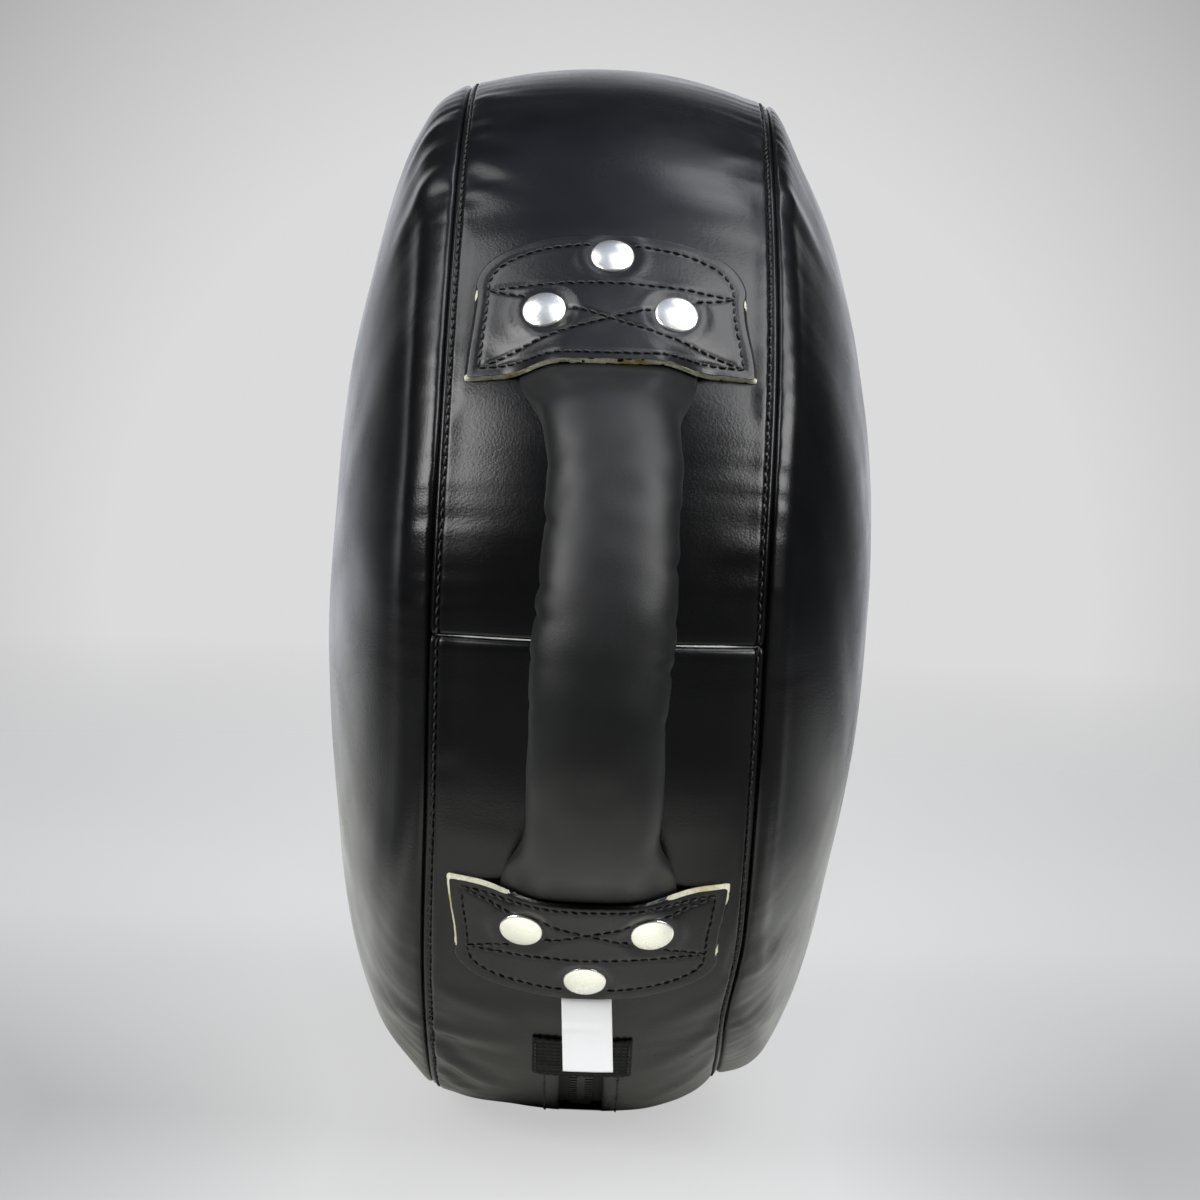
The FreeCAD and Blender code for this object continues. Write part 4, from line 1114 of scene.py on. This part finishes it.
def patch_piece(name, back, low, seed):
    """Thick leather patch: outer surface, cut edge and underside, all in rings of its outline."""
    outline = patch_outline()
    centre = np.array([0.0, (PATCH_START_PHI + PATCH_CORNER_PHI) / 2 + 1])
    inner = 0.03 + 0.97 * np.linspace(0, 1, PATCH_RINGS) ** 1.2
    shares = 1 - np.concatenate([[0, 0.004, 0.012], inner])
    rings = centre + (outline - centre) * shares[:, None, None]
    x, phi = patch_place(rings[..., 0], rings[..., 1], low)
    inwards = centre - outline
    splay = EDGE_SPLAY / np.linalg.norm(inwards * IN_METRES, axis=1, keepdims=True)
    lean = inwards * splay * np.clip(1 - (outline[:, 1:] - PATCH_CORNER_PHI), 0, 1)
    near = np.clip((shares[:, None, None] - 0.9) / 0.1, 0, 1)
    top_x, top_phi = patch_place(*np.moveaxis(rings + lean * near, -1, 0), low)
    top = patch_top(top_x, top_phi, seed, low)
    top[0] -= 0.16 * MM
    top[1] -= 0.04 * MM
    under = drape_radius(x, phi)
    random = np.random.default_rng(seed)
    rough = random.normal(0, EDGE_FRAY, (3, len(outline)))
    cut_edge = []
    for share, fuzz in zip((0.85, 0.45, 0.1), rough):
        radius = under[0] + (top[0] - under[0]) * share
        place = outline + lean * share
        grown = place * (1 + fuzz[:, None] / (PATCH_WIDTH / 2))
        grown_phi = np.maximum(grown[:, 1], outline[:, 1] - 0.06)
        wall_x, wall_phi = patch_place(grown[:, 0], grown_phi, low)
        cut_edge.append(rim_point(wall_x, radius, wall_phi))
    outer = rim_point(top_x, top, top_phi)[::-1]
    grid = np.concatenate([outer, np.stack(cut_edge), rim_point(x, under, phi)])
    piece = grids_piece(name, [mirrored(grid, back, low)], [PATCH_LEATHER, RAW_EDGE],
                        wrap=True, slot="patch_leather")
    mark_raw_edge(piece, back, low)
    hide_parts(name.replace("leather_patch", "patch"))
    lines = []
    for row in patch_seams(low):
        for part in unriveted(sampled(row)):
            spot = patch_top(part[:, 0], part[:, 1], seed, low)
            points = rim_point(part[:, 0], spot + 0.12 * MM, part[:, 1])
            normals = unit((points - CENTRE) * [0.4, 1, 1])
            lines.append((mirrored(points, back, low), mirrored_ways(normals, back, low)))
    stitch_piece(name + "_stitches", lines, seed + 1, pitch=CLOSE_PITCH,
                 thickness=0.85 * MM, fill=0.92)


def unriveted(line):
    """The stretches of a stitched line that no rivet's head covers."""
    clear = np.all([near_rivet(*line.T, *place) > 0.56 * RIVET_HEAD for place in RIVET_PLACES], axis=0)
    starts = np.flatnonzero(np.diff(np.concatenate([[False], clear, [False]]).astype(int)))
    return [line[a:b] for a, b in zip(starts[::2], starts[1::2]) if b - a > 3]


def mark_raw_edge(piece, back, low):
    """The cut edge is pale along the straight side and dyed round the arc; the left side of the
    lower patches is pale too, the other sides only at their corners."""
    mesh = piece.data
    centres, normals = np.zeros((2, len(mesh.polygons) * 3))
    mesh.polygons.foreach_get("center", centres)
    mesh.polygons.foreach_get("normal", normals)
    place = mirrored(centres.reshape(-1, 3), back, low)
    phi = rim_angle(place)
    radial = unit((place - CENTRE) * [0.35, 1, 1])
    way = mirrored_ways(normals.reshape(-1, 3), back, low)
    on_wall = np.abs(np.sum(radial * way, axis=-1)) < 0.62
    x = place[:, 0]
    straight = phi < patch_place(x, PATCH_START_PHI, low)[1] + 0.5
    notch = patch_place(x, PATCH_CORNER_PHI, low)[1]
    side_edge = patch_place(PATCH_WIDTH / 2, phi, low)[0] - 0.9 * MM
    sides = (np.abs(x) > side_edge) & (phi < notch + 0.3)
    corners = (phi > notch - 0.7) | (phi < PATCH_START_PHI + (4.4 if low else 0.8))
    sides &= corners | (low & (x < 0))
    radius = np.linalg.norm((place - CENTRE)[:, 1:], axis=-1)
    under = radius < drape_radius(x, phi) + 0.93 * PATCH_THICKNESS
    rolled = low & (np.abs(x) < 27 * MM)
    raw = on_wall & under & (straight | sides) & ~rolled
    mesh.polygons.foreach_set("material_index", raw.astype(np.int32))


def rivet_profile(length):
    """Half section of a rivet (radius, height): low dome, rounded rim, post."""
    half = RIVET_HEAD / 2
    tilt = math.asin((half - RIVET_RIM) / RIVET_ROUND)
    dome = np.linspace(0, tilt, 12)
    crown_height = RIVET_ROUND * (1 - math.cos(tilt))
    turn = np.linspace(tilt, math.pi / 2, 6)[1:]
    rounded = (np.sin(turn) - math.sin(tilt)) / (1 - math.sin(tilt))
    rim = np.stack([half - RIVET_RIM + RIVET_RIM * rounded,
                    RIVET_RIM * np.cos(turn) / math.cos(tilt)], axis=-1)
    top = np.stack([RIVET_ROUND * np.sin(dome),
                    RIVET_RIM + crown_height - RIVET_ROUND * (1 - np.cos(dome))], axis=-1)
    below, thin = -0.25 * MM, RIVET_POST / 2
    post = [(half, below), (thin, below), (thin, -length), (0, -length)]
    return np.concatenate([top, rim, post])


def rivet_seat(x, phi):
    """Point on a patch where a rivet's head sits, and the way it faces."""
    share = drape_share(x, phi)

    def place(dx, dphi):
        radius = crown(x + dx) + drape_height(phi + dphi) * share + PATCH_GAP
        return rim_point(x + dx, radius + PATCH_THICKNESS - RIVET_SINK, phi + dphi)

    across = place(0.1 * MM, 0) - place(-0.1 * MM, 0)
    way = unit(np.cross(across, place(0, 0.05) - place(0, -0.05)))
    return place(0, 0), way * np.sign(way @ (place(0, 0) - CENTRE))


def rivet_heads(end, back):
    """Six domed rivets of a handle, seated in its patches."""
    turn = full_turn(48)[:, None]
    grids = []
    for low in (False, True):
        for x, phi in RIVET_PLACES:
            seat, way = rivet_seat(x, phi)
            side = unit(np.cross([0, 0, 1.0], way))
            along = np.cross(way, side)
            radius, height = rivet_profile(POST_REACH + drape_height(phi) * drape_share(x, phi)).T
            ring = side * np.cos(turn) + along * np.sin(turn)
            points = seat + ring[None] * radius[:, None, None] + way * height[:, None, None]
            grids.append(mirrored(points, back, low))
    piece = grids_piece("rivet_heads_" + end, grids, [RIVET_METAL], wrap=True, slot="rivet_metal")
    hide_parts("rivets_" + end)


# ---- Label and the ends of the zip

def hanging_label():
    """Blank satin tag, creased where it comes out from under the patch."""
    low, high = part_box("label")
    rows, columns = 40, 22
    drop = np.linspace(0, 1, rows)[:, None]
    across = np.linspace(0, 1, columns)[None, :]
    x = low.x + (high.x - low.x) * across + 0 * drop
    z = high.z - (high.z - low.z) * drop + 0 * across
    bow = 0.25 * MM * np.sin(math.pi * across) * smooth_step(drop, 0, 0.3)
    kink = 0.5 * MM * hump(drop, 0.42, 0.05) * (1 - across)
    curl = 0.7 * MM * drop ** 3 * np.sin(2.2 * across + 0.4)
    y = low.y - bow - kink - curl
    front = np.stack([x + 0.8 * MM + 1.5 * MM * drop, y, z + 0.25 * MM * (across - 0.5)], axis=-1)
    piece = grids_piece("blank_label", [front], [SATIN], body="tag", slot="label_satin")
    thicken(piece, high.y - low.y)
    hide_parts("label")


def end_tab(name, near, way):
    """Ribbed webbing over an end of the zip, with frayed cut edges."""
    random = np.random.default_rng(17)
    rows, columns = 50, 80
    span = way * END_TAB_LENGTH / RIM_DEGREE
    x = (np.linspace(-0.5, 0.5, columns) * END_TAB_WIDTH)[None, :] + np.zeros((rows, 1))
    x = x * (1 - 0.02 * random.random((rows, 1)))
    phi = near + span * np.linspace(0, 1, rows)[:, None] + np.zeros((1, columns))
    rib = 0.18 * MM * np.cos(np.linspace(0, 26 * math.pi, columns))[None, :]
    sag = 0.15 * MM * wave_noise(rim_point(x, RIM_RADIUS, phi), 9 * MM, 9)
    edge = np.minimum(END_TAB_WIDTH / 2 - np.abs(x), 1.2 * MM) / (1.2 * MM)
    top = crown(x) + (END_TAB_THICKNESS - 0.3 * MM) * (0.45 + 0.55 * edge) + (rib + sag) * edge
    piece = grids_piece(name, [rim_point(x, top, phi)], [WEBBING], slot="zip_webbing")
    thicken(piece, 0.6 * MM)
    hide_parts(name.replace("webbing_tab", "zip_end_tab"))
    inset = np.linspace(0.08, 0.92, 60)
    rows = [np.stack([np.full(60, side * 0.46 * END_TAB_WIDTH), near + span * inset], axis=-1)
            for side in (-1, 1)]
    lines = [skin_line(row[:, 0], row[:, 1], 1.25 * MM) for row in rows]
    stitch_piece(name + "_stitches", lines, 19, pitch=2.6 * MM, thickness=0.55 * MM)


# ---- Stage

BACKDROP = 0.71
# Painted shade of the backdrop towards the corners
BACKDROP_SHADED_CORNER = 0.42
FLOOR_SHADE = 0.13  # albedo of the floor as the camera sees it, on top of its own glow
FLOOR_GLOW = 0.52
# Painted reflection: glow of the floor's fans behind the pad, seen only in reflections
PAINTED_REFLECTION_GLOW = 0.28
LIGHT_DISTANCE = 1.9
LIGHT_POWER = 4  # watts per square metre of light and unit of radiance


def floor():
    """Pale disc that fades out before its rim, so that no horizon shows.

    The camera sees it pale, with painted shade that darkens it to both sides and a painted contact
    shadow beneath the zip's slot. In reflections it is painted bright before the pad, in a band beside
    it and in two glowing fans behind it: painted reflections.
    """
    material, tree, shader, place = new_material("pale_floor", (0.80, 0.80, 0.80), 0.8)
    parts = add_node(tree, "ShaderNodeSeparateXYZ", {0: place})
    away = add_node(tree, "ShaderNodeVectorMath", {0: place}, operation="LENGTH").outputs["Value"]
    tree.links.new(remap(tree, away, 0.75, 2.1, 1.0, 0.0), shader.inputs["Alpha"])
    camera_ray = add_node(tree, "ShaderNodeLightPath").outputs["Is Camera Ray"]
    side, depth = parts.outputs["X"], parts.outputs["Y"]
    beside = combine(tree, "ABSOLUTE", side, 0.0)

    # Painted reflections: for reflected rays the floor is painted bright before the pad, in a band
    # beside it and in two fans behind it, and dark elsewhere
    narrow = product(tree, remap(tree, beside, 0.12, 0.28, 1.0, 0.0),
                     remap(tree, side, 0.05, 0.15, 1.0, 0.35))
    front = product(tree, remap(tree, depth, -0.38, -0.27),
                    remap(tree, depth, -0.26, -0.20, 1.0, 0.80), narrow)
    fan = combine(tree, "DIVIDE", depth, combine(tree, "MAXIMUM", beside, 0.01))
    left_fan = remap(tree, fan, 0.50, 1.0, 0.0, 0.8)
    right_fan = product(tree, remap(tree, fan, 0.3, 1.5, 0.0, 0.6),
                        remap(tree, away, 0.7, 1.3, 1.0, 0.45))
    behind = mixed_value(tree, remap(tree, side, -0.05, 0.05), left_fan, right_fan)
    near_sides = product(tree, remap(tree, side, 0.22, 0.36, 1.0, 0.0),
                         remap(tree, side, -0.36, -0.24))
    band = product(tree, product(tree, remap(tree, beside, 0.07, 0.10), near_sides),
                   remap(tree, depth, -0.20, -0.14))
    bright = combine(tree, "MAXIMUM", combine(tree, "MAXIMUM", front, band), behind)
    painted_reflection_tint = mixed_color(tree, bright, (0.08, 0.08, 0.08), (0.80, 0.80, 0.72))
    seen_tint = mixed_color(tree, noise_of(tree, place, 6.0), (FLOOR_SHADE - 0.004,) * 3,
                            (FLOOR_SHADE + 0.004,) * 3)
    paint(tree, shader, camera_ray, painted_reflection_tint, seen_tint)

    # Painted shade: the floor's glow for the camera fades towards both sides, most near the pad
    across = combine(tree, "DIVIDE", beside, remap(tree, depth, -0.05, 0.40, 0.20, 0.35))
    drop = product(tree, remap(tree, across, 0.45, 1.0),
                   remap(tree, depth, -0.05, 0.40, 0.42, 0.14))
    # Painted contact shadow: the glow is taken away in a narrow strip beneath the zip's slot
    painted_contact_shadow = product(tree, remap(tree, depth, -0.0305, -0.0290),
                      remap(tree, depth, 0.045, 0.065, 1.0, 0.0),
                      remap(tree, beside, 0.009, 0.014, 1.0, 0.0))
    seen_glow = product(tree, rest_of(tree, drop), FLOOR_GLOW, rest_of(tree, painted_contact_shadow), camera_ray)
    # Painted reflection: the fans behind the pad glow in reflections only; they are no lamp
    painted_reflection_glow = product(tree, rest_of(tree, camera_ray), product(tree, behind, PAINTED_REFLECTION_GLOW))
    shader.inputs["Emission Color"].default_value = (1, 1, 1, 1)
    glow = combine(tree, "ADD", seen_glow, painted_reflection_glow)
    tree.links.new(glow, shader.inputs["Emission Strength"])
    bpy.ops.mesh.primitive_circle_add(vertices=96, radius=2.2, fill_type="TRIFAN")
    disc = bpy.context.object
    disc.name = "floor"
    disc.location.z = -0.2 * MM
    disc.data.materials.append(material)


def soft_light(name, azimuth, elevation, size, radiance, color=(1, 1, 1)):
    """Rectangular light aimed at the pad; azimuth 0 is the camera's side."""
    turn, rise = math.radians(azimuth), math.radians(elevation)
    level = math.cos(rise)
    way = Vector((math.sin(turn) * level, -math.cos(turn) * level, math.sin(rise)))
    data = bpy.data.lights.new(name, "AREA")
    data.shape = "RECTANGLE"
    data.size, data.size_y = size
    data.energy = LIGHT_POWER * size[0] * size[1] * radiance
    data.color = color
    lamp = bpy.data.objects.new(name, data)
    lamp.location = Vector(CENTRE) + way * LIGHT_DISTANCE
    lamp.rotation_euler = (-way).to_track_quat("-Z", "Y").to_euler()
    bpy.context.scene.collection.objects.link(lamp)


def world():
    """Pale backdrop for the camera, with painted shade that darkens it towards the corners; in
    reflections, a bright wall behind and a soft ceiling.
    """
    sky = bpy.data.worlds.new("studio")
    bpy.context.scene.world = sky
    sky.use_nodes = True
    tree = sky.node_tree
    tree.nodes.clear()
    way = add_node(tree, "ShaderNodeTexCoord").outputs["Generated"]
    parts = add_node(tree, "ShaderNodeSeparateXYZ", {0: way})
    across, ahead, up = (parts.outputs[axis] for axis in "XYZ")
    aim = add_node(tree, "ShaderNodeVectorMath", {0: way, 1: -camera_way()},
                   operation="DOT_PRODUCT")
    # Painted shade: the backdrop darkens from the middle towards the corners, away from the camera's
    # aim
    centre_on = remap(tree, aim.outputs["Value"], 0.972, 0.991)
    middle = (BACKDROP, BACKDROP, BACKDROP * 1.005)
    seen = mixed_color(tree, centre_on, (BACKDROP_SHADED_CORNER,) * 3, middle)
    overhead = product(tree, remap(tree, up, 0.45, 0.85),
                       remap(tree, ahead, 0.15, 0.60, 1.0, 0.08),
                       remap(tree, across, -0.45, 0.05, 0.4, 1.0))
    ceiling = mixed_color(tree, overhead, (0.025, 0.026, 0.03), (0.34, 0.39, 0.55))
    to_right = remap(tree, across, -0.2, 0.2)
    low_behind = mixed_value(tree, to_right, remap(tree, ahead, 0.70, 0.83, 0.0, 0.88),
                             remap(tree, ahead, 0.90, 0.98))
    high_behind = mixed_value(tree, to_right, remap(tree, ahead, 0.81, 1.0),
                              remap(tree, ahead, 0.87, 1.0))
    behind = mixed_value(tree, remap(tree, up, -0.06, 0.0, 1.0, 0.0), high_behind, low_behind)
    studio = mixed_color(tree, behind, ceiling, (1.28, 1.32, 1.40))
    path = add_node(tree, "ShaderNodeLightPath")
    direct = combine(tree, "MAXIMUM", path.outputs["Is Camera Ray"],
                     path.outputs["Is Transmission Ray"])
    color = mixed_color(tree, direct, studio, seen)
    shader = add_node(tree, "ShaderNodeBackground", {"Color": color, "Strength": 1.0})
    output = add_node(tree, "ShaderNodeOutputWorld")
    tree.links.new(shader.outputs[0], output.inputs[0])


CAMERA_DISTANCE = 1.4
CAMERA_ELEVATION = 4.0
CAMERA_ROLL = 2.2
CAMERA_LENS = 108.4
SENSOR_WIDTH = 36
AIM_OFFSET = (0.2 * MM, 0.0, -3.9 * MM)


def camera_way():
    """Direction from the pad to the camera."""
    rise = math.radians(CAMERA_ELEVATION)
    return Vector((0, -math.cos(rise), math.sin(rise)))


def camera():
    way = camera_way()
    data = bpy.data.cameras.new("camera")
    data.lens = CAMERA_LENS
    data.sensor_width = SENSOR_WIDTH
    view = bpy.data.objects.new("camera", data)
    target = Vector(CENTRE) + Vector(AIM_OFFSET)
    aim = (-way).to_track_quat("-Z", "Y").to_matrix().to_4x4()
    roll = Matrix.Rotation(math.radians(CAMERA_ROLL), 4, "Z")
    view.matrix_world = Matrix.Translation(target + way * CAMERA_DISTANCE) @ aim @ roll
    bpy.context.scene.collection.objects.link(view)
    bpy.context.scene.camera = view


# ---- The whole scene

dress_frame()
for label, way in (("left", -1), ("right", 1)):
    face_piece(way, "face_" + label)
    foam_dome(way, "foam_dome_" + label)
    foam_layer("foam_layer_" + label)
gusset_upper()
gusset_lower()
seam_stitches()
cross_seam_edges()
for end, is_back in (("front", False), ("back", True)):
    for level, is_low in (("upper", False), ("lower", True)):
        patch_seed = 50 + 2 * is_low + 5 * is_back
        patch_piece("leather_patch_%s_%s" % (end, level), is_back, is_low, patch_seed)
    handle_pieces(end, is_back)
    rivet_heads(end, is_back)
hanging_label()
end_tab("webbing_tab_front", ZIP_FRONT_PHI, 1)
end_tab("webbing_tab_back", ZIP_BACK_PHI, -1)
floor()
soft_light("left_softbox_low", -56, 27, (1.25, 0.78), 8.8)
soft_light("left_softbox_high", -75, 53, (0.85, 0.90), 3.4)
soft_light("right_softbox_low", 56, 28, (1.1, 0.80), 7.8)
soft_light("right_softbox_high", 58, 55, (1.1, 0.90), 4.6)
soft_light("overhead_softbox", 16, 62, (0.6, 1.25), 0.85)
soft_light("top_softbox", 127, 69, (0.5, 0.6), 3.4, (0.93, 0.96, 1.0))
world()
camera()
bpy.context.scene.view_settings.view_transform = "Standard"
